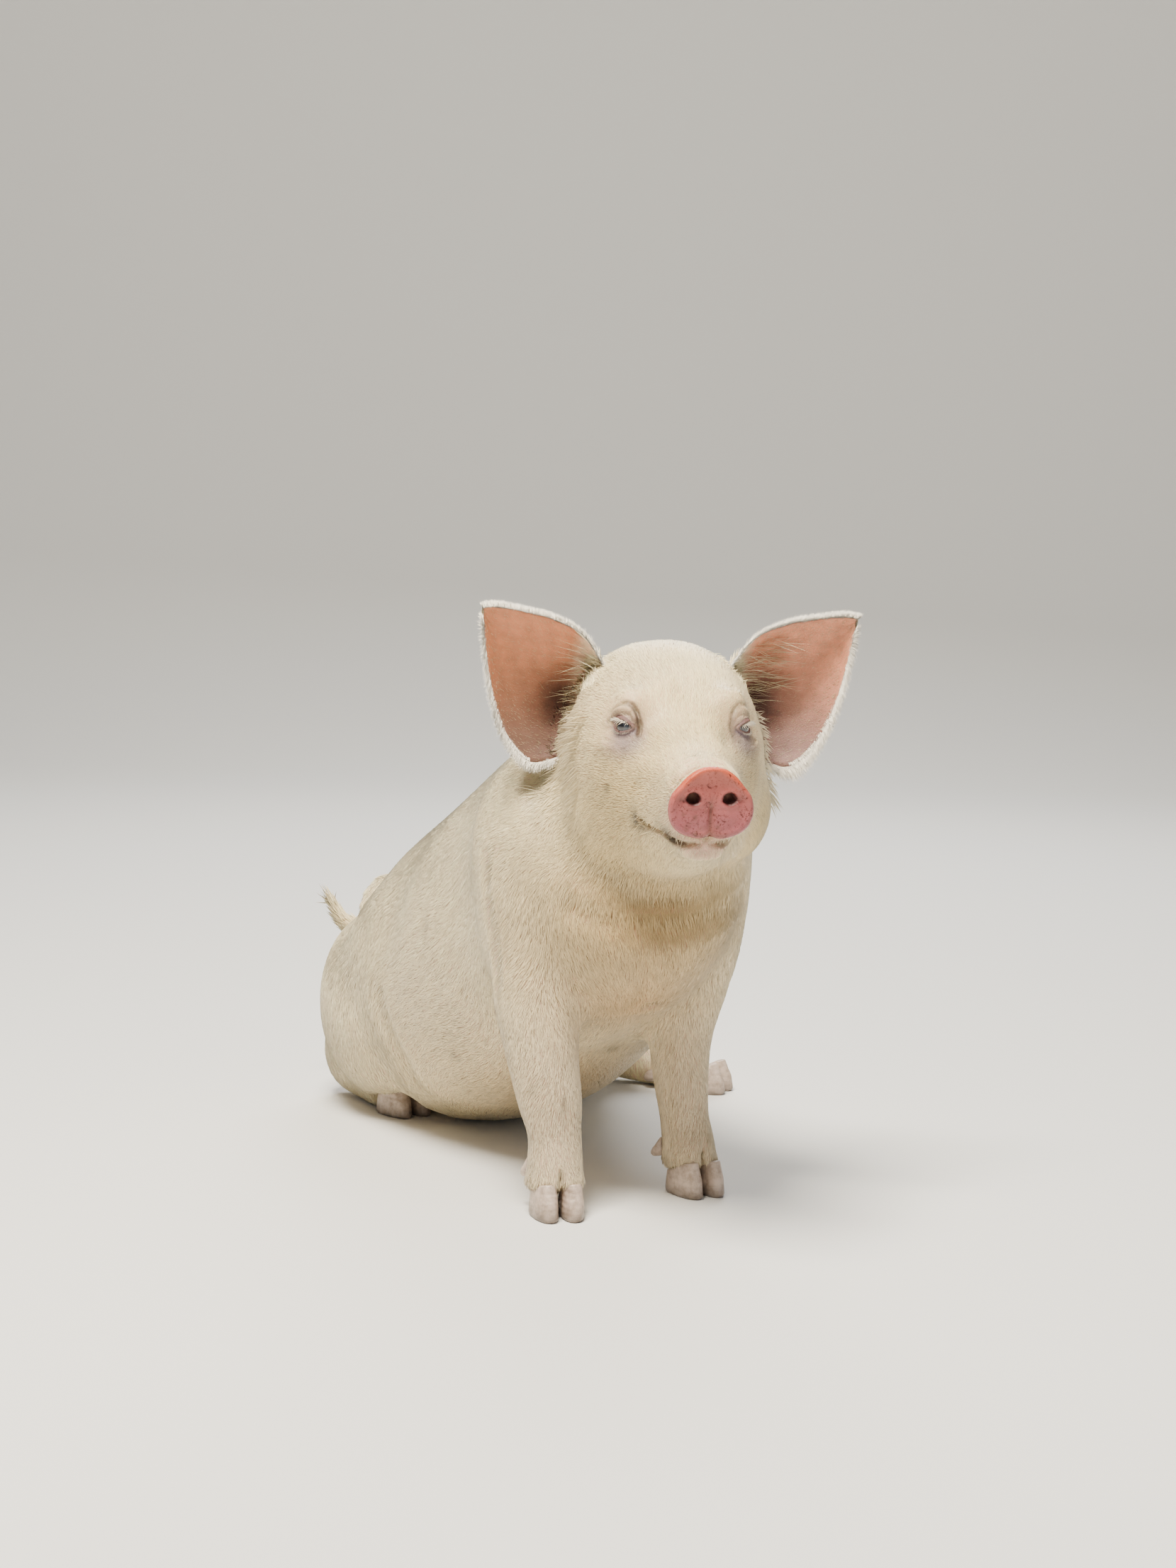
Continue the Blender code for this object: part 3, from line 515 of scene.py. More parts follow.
# Grooves of the head, on both sides: a line of places, its width and its depth.
SKULL_GROOVES = [
    ([(0.004, -0.153, -0.0588), (0.0149, -0.1483, -0.059), (0.0225, -0.1396, -0.056),
      (0.0275, -0.133, -0.053), (0.0345, -0.118, -0.05), (0.04, -0.106, -0.0465)],
     0.0017, 0.0036),
    ([(0.0555, -0.048, 0.02), (0.054, -0.05, 0.027), (0.05, -0.059, 0.0345),
      (0.044, -0.0655, 0.0368), (0.04, -0.0675, 0.0345), (0.037, -0.0692, 0.0293),
      (0.0352, -0.0735, 0.0205), (0.037, -0.0752, 0.013)], 0.0015, 0.003),
    ([(0.056, -0.048, 0.04), (0.05, -0.06, 0.046), (0.042, -0.07, 0.0455)],
     0.0012, 0.0012),
    ([(0.054, -0.052, 0.022), (0.052, -0.057, 0.028), (0.047, -0.0655, 0.0316),
      (0.042, -0.07, 0.0303), (0.0388, -0.0722, 0.0255)], 0.0032, -0.003),
    ([(0.056, -0.054, 0.006), (0.048, -0.066, 0.003), (0.04, -0.075, 0.006)],
     0.0013, 0.0016),
    ([(0.054, -0.06, -0.002), (0.047, -0.07, -0.004), (0.04, -0.078, -0.001)],
     0.0014, 0.0012),
    ([(0, -0.15, 0.003), (0.013, -0.15, -0.002), (0.024, -0.15, -0.015)],
     0.0015, 0.002),
    ([(0, -0.142, 0.005), (0.013, -0.142, 0), (0.024, -0.142, -0.013)],
     0.0015, 0.0016),
    ([(0, -0.1335, 0.007), (0.012, -0.1335, 0.003), (0.023, -0.1335, -0.01)],
     0.0016, 0.0012),
]
MOUTH_LINE, EYE_ARCH = SKULL_GROOVES[0][0], SKULL_GROOVES[1][0]
BARE_LIPS = MOUTH_LINE[:4]
# Folds of the trunk, each on its own side.
BODY_FOLDS = [
    ([(-0.104, 0.03, 0.284), (-0.106, 0.03, 0.258), (-0.1045, 0.026, 0.24),
      (-0.102, 0.024, 0.224), (-0.099, 0.022, 0.201), (-0.098, 0.018, 0.18)], 0.004, 0.003),
    ([(0.108, 0.036, 0.284), (0.11, 0.04, 0.25), (0.108, 0.038, 0.22), (0.102, 0.034, 0.19)],
     0.0045, 0.003),
    ([(-0.061, -0.036, 0.253), (-0.04, -0.049, 0.2436), (-0.013, -0.0554, 0.2384),
      (0.016, -0.0563, 0.2365), (0.047, -0.051, 0.2414), (0.0898, -0.0175, 0.2574)],
     0.007, 0.0032),
    ([(-0.131, 0.258, 0.128), (-0.126, 0.252, 0.106), (-0.119, 0.249, 0.088),
      (-0.109, 0.25, 0.069), (-0.099, 0.262, 0.05)], 0.0085, 0.0034),
    ([(0.128, 0.27, 0.128), (0.124, 0.264, 0.106), (0.117, 0.262, 0.088),
      (0.107, 0.264, 0.069), (0.097, 0.274, 0.05)], 0.0085, 0.0034),
    ([(-0.047, -0.018, 0.182), (-0.044, -0.004, 0.176), (-0.043, 0.012, 0.172)], 0.004, 0.003),
    ([(0.0125, -0.0124, 0.1637), (0.03, -0.01, 0.172), (0.045, -0.004, 0.186)], 0.004, 0.0034),
    ([(-0.06, -0.006, 0.272), (-0.066, 0.004, 0.29), (-0.068, 0.01, 0.325), (-0.066, 0.016, 0.355)],
     0.0065, 0.005),
    ([(0.088, 0.006, 0.272), (0.092, 0.018, 0.29), (0.094, 0.024, 0.325), (0.09, 0.03, 0.355)],
     0.0065, 0.005),
]
# How high the swelling beside a groove is, how far from it and how wide, in shares of the groove.
GROOVE_LIPS, FOLD_LIPS = (0.3, 2.2, 1.2), (0.35, 2.3, 1.3)
# The left eye is screwed up against the sun, and the folds round it show less.
LEFT_EYE_FOLDS = 0.35


def blob(points, at, reach, side=1):
    """1 at a place, fading out over its reach along each axis."""
    off = (points - np.array((side * at[0], at[1], at[2]))) / np.array(reach)
    return np.exp(-(off**2).sum(1))


def both_if_aside(at):
    """A mark on the middle line comes once, and any other on both sides."""
    return SIDES if at[0] else (1,)


def line_distance(points, line):
    """The distance from each point to a line through the given places."""
    nearest = np.full(len(points), 1e9)
    for a, b in zip(line[:-1], line[1:]):
        a, b = np.asarray(a, float), np.asarray(b, float)
        run = b - a
        t = np.clip((points - a) @ run / (run @ run), 0, 1)
        nearest = np.minimum(nearest, length_of(points - (a + t[:, None] * run)))
    return nearest


def mirrored(line, side):
    return [(side * x, y, z) for x, y, z in line]


def pressed(points, line, width, depth, lips):
    """A groove along a line, with a soft swelling on either side of it."""
    high, out, wide = lips
    gap = line_distance(points, line)
    beside = high * depth * np.exp(-(((gap - out * width) / (wide * width)) ** 2))
    return beside - depth * np.exp(-((gap / width) ** 2))


normals = vertex_normals(hide.data)
h = in_frame(SKULL, points)
g = points - np.array(GROUND)
rise = np.zeros(len(points))
for local, swells in ((h, SKULL_SWELLS), (g, BODY_SWELLS)):
    for at, reach, amount in swells:
        for side in both_if_aside(at):
            rise += amount * blob(local, at, reach, side)
for line, width, depth in SKULL_GROOVES:
    by_eye = line[0][2] > 0.015
    for side in SIDES:
        deep = depth * (LEFT_EYE_FOLDS if by_eye and side == LEFT else 1.0)
        rise += pressed(h, mirrored(line, side), width, deep, GROOVE_LIPS)
for line, width, depth in BODY_FOLDS:
    rise += pressed(g, line, width, depth, FOLD_LIPS)
# Slow unevenness of flesh, and the faint lumps of muscle and fat under the skin.
wave = np.sin(g[:, 0] * 61 + g[:, 1] * 23) * np.sin(g[:, 2] * 47 - g[:, 1] * 19 + 1.3)
wave += 0.5 * np.sin(g[:, 0] * 113 - g[:, 2] * 71 + 0.7) * np.sin(g[:, 1] * 97 + g[:, 2] * 53)
rise += 0.0006 * wave * smooth_step(0.05, 0.12, g[:, 2])
rise *= 1 - ear_share(points)
# The cleft between the toes runs up the front of each foot, and a shallower one up the back. The
# skin swells out over the top of the claws.
CLEFT_FRONT, CLEFT_BACK, CLEFT_WIDE = 0.0075, 0.0040, 0.0024
CLEFT_TOP = {"fore": 0.046, "hind": 0.040}
CORONET_HIGH, CORONET_OUT = 0.0275, 0.0017
for name, place in FEET.items():
    f = in_frame(place, points)
    top = CLEFT_TOP[name[:4]]
    up = smooth_step(top, top - 0.014, f[:, 2]) * (f[:, 2] < top)
    near = np.exp(-((f[:, 0] / CLEFT_WIDE) ** 2)) * (np.abs(f[:, 1]) < 0.05)
    rise -= CLEFT_FRONT * near * up * smooth_step(-0.004, -0.012, f[:, 1])
    rise -= CLEFT_BACK * near * up * smooth_step(0.004, 0.012, f[:, 1])
    band = np.exp(-(((f[:, 2] - CORONET_HIGH) / 0.0050) ** 2))
    rise += CORONET_OUT * band * (np.abs(f[:, 0]) < 0.03) * (np.abs(f[:, 1]) < 0.04)
points = points + normals * rise[:, None]

# The lids. Each is a rim of skin round the eyeball. Outside its opening the skin lies just over
# the ball, and inside it dips under the ball's surface. Angles are seen from the ball's centre.
LID_INNER, LID_OUTER = 52.0, 47.0
LID_UP, LID_DOWN, LID_TILT = 25.0, 18.0, 3.5
LID_UP_CURVE, LID_DOWN_CURVE = 0.65, 0.85
LEFT_LID_OPEN = 0.72
# Degrees outside the opening, and how far the skin lies from the ball there.
LID_STOPS = (
    (-90, -4, -1.2, 0.8, 3.5, 9, 14, 20, 34),
    (-0.0022, -0.0020, -0.0002, 0.0011, 0.0019, 0.0017, 0.0010, 0.0020, 0.0026),
)
LID_CLEAR = 0.0009


def lid_opening(t, side, upper):
    """How many degrees a lid's margin stands open, at share t from inner to outer corner."""
    if upper:
        return LID_UP * (LEFT_LID_OPEN if side == LEFT else 1.0) * (1 - t**2) ** LID_UP_CURVE
    return LID_DOWN * (1 - t**2) ** LID_DOWN_CURVE


def about_eye(points, side, place):
    """Places seen from an eyeball: where, how far, and degrees outside the lids' opening."""
    q = in_frame(place, points)
    length = length_of(q)
    turn = np.degrees(np.arctan2(q[:, 0] * side, -q[:, 1]))
    lift = np.degrees(np.arcsin(np.clip(q[:, 2] / length, -1, 1)))
    half = np.where(turn > 0, LID_OUTER, LID_INNER)
    t = np.clip(turn / half, -1, 1)
    middle = LID_TILT * t
    up, down = lid_opening(t, side, True), lid_opening(t, side, False)
    tall = np.maximum(lift - middle - up, middle - down - lift)
    wide = np.abs(turn) - half
    beside = np.hypot(np.maximum(wide, 0), np.maximum(np.abs(lift - middle), 0))
    return q, length, np.where(wide > 0, beside, tall)


for side, place in EYES.items():
    q, length, out = about_eye(points, side, place)
    near = (length < EYE_REACH) & (q[:, 1] < 0.003)
    target = EYE_RADIUS + np.interp(out, *LID_STOPS)
    hold = np.where(out < 9, 1.0, 1 - smooth_step(9, 30, out)) * near
    hold *= smooth_step(EYE_REACH, 0.020, length)
    q = q + hold[:, None] * (q / length[:, None] * target[:, None] - q)
    length = length_of(q)
    buried = near & (out > 2) & (length < EYE_RADIUS + LID_CLEAR)
    q = np.where(buried[:, None], q / length[:, None] * (EYE_RADIUS + LID_CLEAR), q)
    points = np.where(near[:, None], to_world(place, q), points)
points = eased(points, pairs, 1, 0.35 * near_eyes(points, LID_REACH))
set_coordinates(hide.data, points)

hide.data.shade_smooth()
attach(hide, "root")
# The solids that the hide stands for.
HIDDEN = [node for node in FLESH if not node.startswith("eye")] + ["snout", "ear_right", "ear_left"]
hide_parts(*HIDDEN)


# The eyes: small, dark and wet, nearly shut against the light. Each is a ball with a slightly
# bulging cornea, a blue-grey iris and a black pupil.
CORNEA_BULGE, CORNEA_WIDE = 0.045, 34


def make_eye(name, node, place):
    bm = bmesh.new()
    bmesh.ops.create_uvsphere(
        bm, u_segments=64, v_segments=48, radius=EYE_RADIUS, matrix=turned(90, "X"))
    for v in bm.verts:
        off_axis = math.degrees(v.co.angle(Vector((0, -1, 0))))
        v.co *= 1 + CORNEA_BULGE * max(0.0, 1 - (off_axis / CORNEA_WIDE) ** 2) ** 1.5
        v.co = place @ v.co
    eye = piece_from(name, bm)
    eye.data.shade_smooth()
    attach(eye, "root")
    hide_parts(node)
    return eye


eyes = {
    side: make_eye("eyeball_" + word, "eye_" + word, EYES[side]) for side, word in SIDES.items()}


# The claws and dewclaws: horn, worn blunt at the edge, with faint growth rings. The root of each
# runs up under the skin.
CLAW_GRID = 0.0013
CLAW_EASING = (4, 0.6, 0.85)
CLAW_ROOT_UP, CLAW_ROOT_IN = 0.0032, 0.06
claws = []
for node in [n for n in frame["nodes"] if n.startswith(("hoof_", "dewclaw_"))]:
    claw = put_in_scene("claw_" + node, solid_copy(node, "claw_" + node))
    put_on_grid(claw, CLAW_GRID)
    points = eased(coordinates(claw.data), edge_pairs(claw.data), *CLAW_EASING)
    top = points[:, 2].max()
    root = smooth_step(top - 0.006, top - 0.001, points[:, 2])
    points[:, 2] += CLAW_ROOT_UP * root
    points[:, :2] += CLAW_ROOT_IN * root[:, None] * (points[:, :2].mean(0) - points[:, :2])
    set_coordinates(claw.data, points)
    claw.data.shade_smooth()
    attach(claw, "root")
    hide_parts(node)
    claws.append(claw)


# The coat: short, flat, pale bristles. Each tuft is a thin closed blade of four points, rooted in
# the skin, widest at two fifths, laid along the lie of the coat with its tip back on the surface.
HEAD, BODY = "head", "body"
# Where, on the animal's left side (mirrored to its right), the hair's direction from root to tip,
# its length in millimetres and how far it stands off the skin.
LIE = [
    (HEAD, (0.054, -0.07, 0.032), (0.25, 0.75, 0.6), 3.2, 0.08),
    (HEAD, (0.054, -0.072, 0.008), (0.2, 0.95, -0.2), 3.2, 0.08),
    (HEAD, (0.036, -0.085, 0.02), (0.45, 0.85, 0.2), 3.8, 0.08),
    (HEAD, (0, -0.14, 0.003), (0, 0.85, 0.5), 5, 0.1),
    (HEAD, (0.028, -0.125, -0.01), (0.25, 0.95, -0.05), 5, 0.1),
    (HEAD, (0, -0.09, 0.034), (0, 0.6, 0.8), 6.5, 0.1),
    (HEAD, (0.03, -0.088, 0.012), (0.35, 0.85, 0.3), 5.5, 0.1),
    (HEAD, (0.046, -0.075, 0.042), (0.2, 0.75, 0.6), 6.5, 0.12),
    (HEAD, (0, -0.055, 0.078), (0, 0.65, 0.7), 8, 0.12),
    (HEAD, (0, 0, 0.104), (0, 1, 0.15), 9.5, 0.62),
    (HEAD, (0.045, -0.01, 0.09), (0.35, 0.9, 0.2), 9.5, 0.55),
    (HEAD, (0.062, -0.045, 0), (0.15, 0.9, -0.3), 7, 0.1),
    (HEAD, (0.072, -0.03, -0.045), (0.1, 0.8, -0.6), 10, 0.12),
    (HEAD, (0.072, 0.01, -0.07), (0.1, 0.75, -0.65), 13, 0.14),
    (HEAD, (0.045, -0.095, -0.04), (0.35, 0.85, -0.4), 7, 0.1),
    (HEAD, (0.04, -0.08, -0.08), (0.3, 0.65, -0.7), 10, 0.14),
    (HEAD, (0, -0.13, -0.075), (0, 0.35, -0.9), 7, 0.14),
    (HEAD, (0, -0.08, -0.105), (0, 0.9, -0.4), 11, 0.16),
    (BODY, (0, 0.06, 0.42), (0, 0.9, -0.25), 13, 0.28),
    (BODY, (0.08, 0.05, 0.34), (0.15, 0.8, -0.6), 13, 0.12),
    (BODY, (0, 0.18, 0.37), (0, 0.8, -0.6), 14, 0.24),
    (BODY, (0.11, 0.15, 0.28), (0.1, 0.72, -0.7), 14, 0.12),
    (BODY, (0, 0.3, 0.3), (0, 0.65, -0.75), 14, 0.22),
    (BODY, (0.11, 0.26, 0.23), (0.1, 0.62, -0.78), 14, 0.12),
    (BODY, (0.13, 0.2, 0.15), (0, 0.85, -0.5), 13, 0.12),
    (BODY, (0.11, 0.19, 0.07), (0, 1, -0.1), 12, 0.12),
    (BODY, (0.04, 0.15, 0.04), (0.05, 1, 0), 10, 0.12),
    (BODY, (0, 0.4, 0.22), (0, 0.4, -0.92), 14, 0.12),
    (BODY, (0.11, 0.34, 0.18), (0.1, 0.25, -0.96), 14, 0.12),
    (BODY, (0.14, 0.32, 0.08), (0.05, 0.05, -1), 13, 0.12),
    (BODY, (0.1, 0.42, 0.08), (0, -0.1, -1), 12, 0.12),
    (BODY, (0.1, 0.04, 0.24), (0.05, 0.75, -0.65), 12, 0.12),
    (BODY, (0.095, 0, 0.18), (0.2, 0.45, -0.87), 11, 0.12),
    (BODY, (0.05, -0.035, 0.19), (-0.45, 0, -0.9), 12, 0.14),
    (BODY, (0, -0.05, 0.21), (0, 0.1, -1), 13, 0.16),
    (BODY, (0, -0.04, 0.15), (0, 0.6, -0.8), 12, 0.16),
    (BODY, (0.07, -0.04, 0.24), (-0.2, 0.15, -0.97), 13, 0.14),
    (BODY, (0.07, 0, 0.12), (0, 0.25, -0.97), 9, 0.1),
    (BODY, (0.065, 0, 0.05), (0, 0.1, -1), 6.5, 0.1),
    (BODY, (0.16, 0.3, 0.03), (0.2, -0.7, -0.6), 7, 0.1),
    (BODY, (0.16, 0.24, 0.03), (-0.2, -0.8, -0.5), 6, 0.1),
]
LIE_REACH = 0.0004
guides = []
for region, at, to, tall, stand in LIE:
    place = SKULL if region == HEAD else Matrix.Translation(GROUND)
    for side in SIDES:
        there = place @ Vector((side * at[0], at[1], at[2]))
        along = (place.to_3x3() @ Vector((side * to[0], to[1], to[2]))).normalized()
        guides.append((*there, *along, tall * 0.001, stand))
guides = np.array(guides)
# One set of dice for the whole coat, so that it falls the same way each time.
dice = np.random.default_rng(41)


def lie_of_coat(points):
    """Direction, length and stand of the hair at each point, blended from the nearest guides."""
    gap = ((points[:, None, :] - guides[None, :, :3]) ** 2).sum(2)
    weight = 1 / (gap + LIE_REACH) ** 2
    weight /= weight.sum(1, keepdims=True)
    tall = weight @ guides[:, 6]
    # Very short round the eyes, along the lips and behind the disc of the snout.
    for side, place in EYES.items():
        tall *= 0.38 + 0.62 * smooth_step(0.014, 0.034, length_of(in_frame(place, points)))
        off_lips = line_distance(in_frame(SKULL, points), mirrored(BARE_LIPS, side))
        tall *= 0.55 + 0.45 * smooth_step(0.002, 0.010, off_lips)
    tall *= 0.62 + 0.38 * smooth_step(0.004, 0.026, in_frame(SNOUT, points)[:, 1])
    return weight @ guides[:, 3:6], tall, weight @ guides[:, 7]


hide_points = coordinates(hide.data)
hide_normals = vertex_normals(hide.data)
hide.data.calc_loop_triangles()
hide_triangles = read(hide.data.loop_triangles, "vertices", 3, np.int32)

# Each point of the hide belongs to the solid whose surface is nearest.
solid_points = [coordinates(frame["nodes"][node].data) for node in HIDDEN]
solid_owner = np.repeat(np.arange(len(HIDDEN)), [len(found) for found in solid_points])
solid_tree = KDTree(len(solid_owner))
for index, point in enumerate(np.concatenate(solid_points)):
    solid_tree.insert(point, index)
solid_tree.balance()


def owner_of(points):
    return np.array([solid_owner[solid_tree.find(p)[1]] for p in points])


point_owner = owner_of(hide_points)
in_ear = ear_share(hide_points) > 0.5
on_left = in_frame(SKULL, hide_points)[:, 0] > 0
point_owner[in_ear & ~on_left] = HIDDEN.index("ear_right")
point_owner[in_ear & on_left] = HIDDEN.index("ear_left")
triangle_owner = point_owner[hide_triangles[:, 0]]
corner = hide_points[hide_triangles]
across_triangle = np.cross(corner[:, 1] - corner[:, 0], corner[:, 2] - corner[:, 0])
triangle_area = 0.5 * length_of(across_triangle)
middle_of_face = corner.mean(1)
surface = BVHTree.FromPolygons(hide_points.tolist(), hide_triangles.tolist())


def part_of(nodes):
    """The triangles of the hide that belong to these solids."""
    return np.isin(triangle_owner, [HIDDEN.index(node) for node in nodes])


def scatter(wanted, count):
    """Roots spread evenly over the triangles wanted: places and normals."""
    chosen = np.flatnonzero(wanted)
    area = np.cumsum(triangle_area[chosen])
    spots = (np.arange(count) + dice.random(count)) / count * area[-1]
    which = hide_triangles[chosen[np.minimum(np.searchsorted(area, spots), len(chosen) - 1)]]
    a, b = dice.random(count), dice.random(count)
    over = a + b > 1
    a[over], b[over] = 1 - a[over], 1 - b[over]
    share = np.stack([1 - a - b, a, b], 1)[:, :, None]
    roots = (hide_points[which] * share).sum(1)
    normals = (hide_normals[which] * share).sum(1)
    return roots, normals / np.linalg.norm(normals, axis=1, keepdims=True)


def unit(vectors):
    return vectors / np.maximum(np.linalg.norm(vectors, axis=-1, keepdims=True), 1e-9)


def laid_flat(normals, along):
    return unit(along - normals * (along * normals).sum(1, keepdims=True))


def ruffled(normals, along, share):
    """Directions on the skin, each turned a little at random."""
    return laid_flat(normals, unit(along) + share * dice.standard_normal(along.shape))


def varied(least, spread, count):
    return least + spread * dice.random(count)


def settled(points, height):
    """Points moved to lie at their heights over the nearest skin."""
    result = points.copy()
    for i, point in enumerate(points):
        at, normal, _, _ = surface.find_nearest(point, 0.05)
        if at is not None:
            result[i] = at + normal * height[i]
    return result


ROOT_SUNK, WIDEST_AT, SIDE_SHADE = 0.0007, 0.40, 0.45
FLOOR_CLEAR = 0.0002
TUFT_FACES = np.array([[0, 1, 2], [3, 2, 1], [0, 3, 1], [0, 2, 3]])
TUFT_PATCH = np.array([[0, -0.0015], [-0.0013, 0.0002], [0.0013, -0.0002], [0.0, 0.0015]])


def tufts(roots, normals, along, long, wide, stand, settle=False, droop=0.0, lit=None):
    """The points and shading normals of all the tufts, four each: root, left, right, tip."""
    count = len(roots)
    sizes = (long, wide, stand)
    long, wide, stand = (np.broadcast_to(np.asarray(v, float), (count,)) for v in sizes)
    ends = roots + (along + normals * stand[:, None]) * long[:, None]
    ends[:, 2] -= droop * long
    if settle:
        ends = settled(ends, long * stand * 0.9 + 0.0003)
    across = unit(np.cross(normals, along))
    middle = roots + WIDEST_AT * (ends - roots)
    middle += normals * (0.10 * long * stand + 0.45 * wide)[:, None]
    points = np.empty((count, 4, 3))
    points[:, 0] = roots - normals * ROOT_SUNK
    points[:, 1] = middle - across * (wide / 2)[:, None]
    points[:, 2] = middle + across * (wide / 2)[:, None]
    points[:, 3] = ends
    # Hair is shaded mostly like the skin it lies on, so that the coat reads as one soft surface.
    lit = normals if lit is None else lit
    shading = np.repeat(lit[:, None, :], 4, 1)
    shading[:, 1] = unit(lit - SIDE_SHADE * across)
    shading[:, 2] = unit(lit + SIDE_SHADE * across)
    return points, shading


def paint(mesh, colours):
    """Stores a colour for each point of a mesh."""
    full = np.ones((len(mesh.vertices), 4), np.float32)
    full[:, :3] = colours.reshape(-1, 3)
    tint = mesh.color_attributes.new("tint", "FLOAT_COLOR", "POINT")
    tint.data.foreach_set("color", full.reshape(-1))


def unwrap_cells(roots, normals):
    """Each root's place on the skin's unwrap: one cell for each solid and side that skin faces."""
    axis = np.abs(normals).argmax(1)
    facing = axis * 2 + (normals[np.arange(len(roots)), axis] > 0)
    keys = owner_of(roots) * 6 + facing
    kinds = np.unique(keys)
    per_row = math.ceil(math.sqrt(len(kinds)))
    place = np.zeros((len(roots), 2))
    for index, key in enumerate(kinds):
        mine = keys == key
        flat = np.delete(roots[mine], (key % 6) // 2, axis=1)
        low, high = flat.min(0), flat.max(0)
        share = (flat - low) / max((high - low).max(), 1e-4)
        cell = np.array((index % per_row, index // per_row))
        place[mine] = (cell + 0.04 + 0.92 * share) / per_row
    return place


def coat_piece(name, batches, nodes):
    """One mesh from batches of tufts, with its colours and its bake map."""
    points, shading, colours, roots, normals = map(np.concatenate, zip(*batches))
    points[:, :, 2] = np.maximum(points[:, :, 2], FLOOR_CLEAR)
    count = len(points)
    faces = (np.arange(count)[:, None, None] * 4 + TUFT_FACES[None]).reshape(-1, 3)
    mesh = bpy.data.meshes.new(name)
    mesh.vertices.add(count * 4)
    mesh.vertices.foreach_set("co", points.reshape(-1).astype(np.float32))
    mesh.loops.add(len(faces) * 3)
    mesh.loops.foreach_set("vertex_index", faces.reshape(-1).astype(np.int32))
    mesh.polygons.add(len(faces))
    mesh.polygons.foreach_set("loop_start", np.arange(len(faces), dtype=np.int32) * 3)
    mesh.polygons.foreach_set("loop_total", np.full(len(faces), 3, np.int32))
    mesh.update(calc_edges=True)
    paint(mesh, colours)
    bake = mesh.uv_layers.new(name="OFBake")
    patch = unwrap_cells(roots, normals)[:, None, :] + TUFT_PATCH[None]
    spots = np.clip(patch.reshape(-1, 2)[faces.reshape(-1)], 0.001, 0.999)
    bake.data.foreach_set("uv", spots.reshape(-1).astype(np.float32))
    mesh.shade_smooth()
    mesh.normals_split_custom_set_from_vertices(shading.reshape(-1, 3).tolist())
    piece = put_in_scene(name, mesh)
    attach(piece, "root")
    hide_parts(*nodes)
    return piece


# Colour. Skin and hair share one set of markings: pink ears, chest and snout, a yellower face and
# throat, grey rings round the eyes, and a few dry mud marks. Some of it is painted light: a glow
# through the tops of the ears, and painted shade on the lobes, round the eyes, in the creases of
# the lids, and as warm brown under the jaw and on chest, belly, legs and low flanks.
SKIN_BASE = (0.78, 0.56, 0.40)
HAIR_BASE = (0.93, 0.78, 0.49)
# Part, place, reach, colour of skin, colour of hair, strength. Both sides get each.
BOTH_SIDES = [
    (HEAD, (0, -0.09, 0.03), (0.07, 0.08, 0.075), (0.74, 0.49, 0.26), (0.91, 0.73, 0.38), 0.85),
    # The next six, under the jaw, on the chest and between the fore legs, on the legs, under the
    # belly and low on the flank: a warm brown that is partly the coat's own tone and partly painted
    # shade.
    (HEAD, (0.05, -0.06, -0.05), (0.04, 0.08, 0.06), (0.6, 0.39, 0.18), (0.72, 0.54, 0.24), 0.85),
    (BODY, (0, -0.04, 0.23), (0.11, 0.07, 0.05), (0.44, 0.25, 0.11), (0.52, 0.35, 0.14), 0.9),
    (BODY, (0, -0.02, 0.16), (0.07, 0.06, 0.06), (0.44, 0.24, 0.13), (0.52, 0.34, 0.16), 0.88),
    (BODY, (0.065, 0, 0.07), (0.045, 0.065, 0.075), (0.48, 0.32, 0.23), (0.57, 0.46, 0.33), 0.75),
    (BODY, (0, 0.15, 0.06), (0.09, 0.12, 0.06), (0.42, 0.25, 0.13), (0.5, 0.34, 0.16), 0.84),
    (BODY, (0.115, 0.13, 0.07), (0.06, 0.13, 0.065), (0.52, 0.36, 0.22), (0.62, 0.49, 0.27), 0.65),
    # Round the eye: grey skin deepened with painted shade of the socket, lilac-grey skin under it,
    # and a painted shadow in the crease at the inner corner.
    (HEAD, (0.048, -0.068, 0.019), (0.0165, 0.017, 0.0135), (0.15, 0.092, 0.092),
      (0.21, 0.15, 0.14), 0.88),
    (HEAD, (0.048, -0.074, 0.005), (0.018, 0.017, 0.011), (0.24, 0.17, 0.185),
      (0.3, 0.235, 0.235), 0.78),
    (HEAD, (0.0385, -0.079, 0.02), (0.005, 0.006, 0.01), (0.08, 0.05, 0.05),
      (0.14, 0.1, 0.095), 0.85),
    (HEAD, (0.02, -0.15, -0.045), (0.012, 0.012, 0.016), (0.62, 0.36, 0.3), (0.8, 0.64, 0.5), 0.5),
    (HEAD, (0, -0.152, -0.064), (0.016, 0.008, 0.01), (0.62, 0.34, 0.28), (0.78, 0.56, 0.44), 0.7),
]
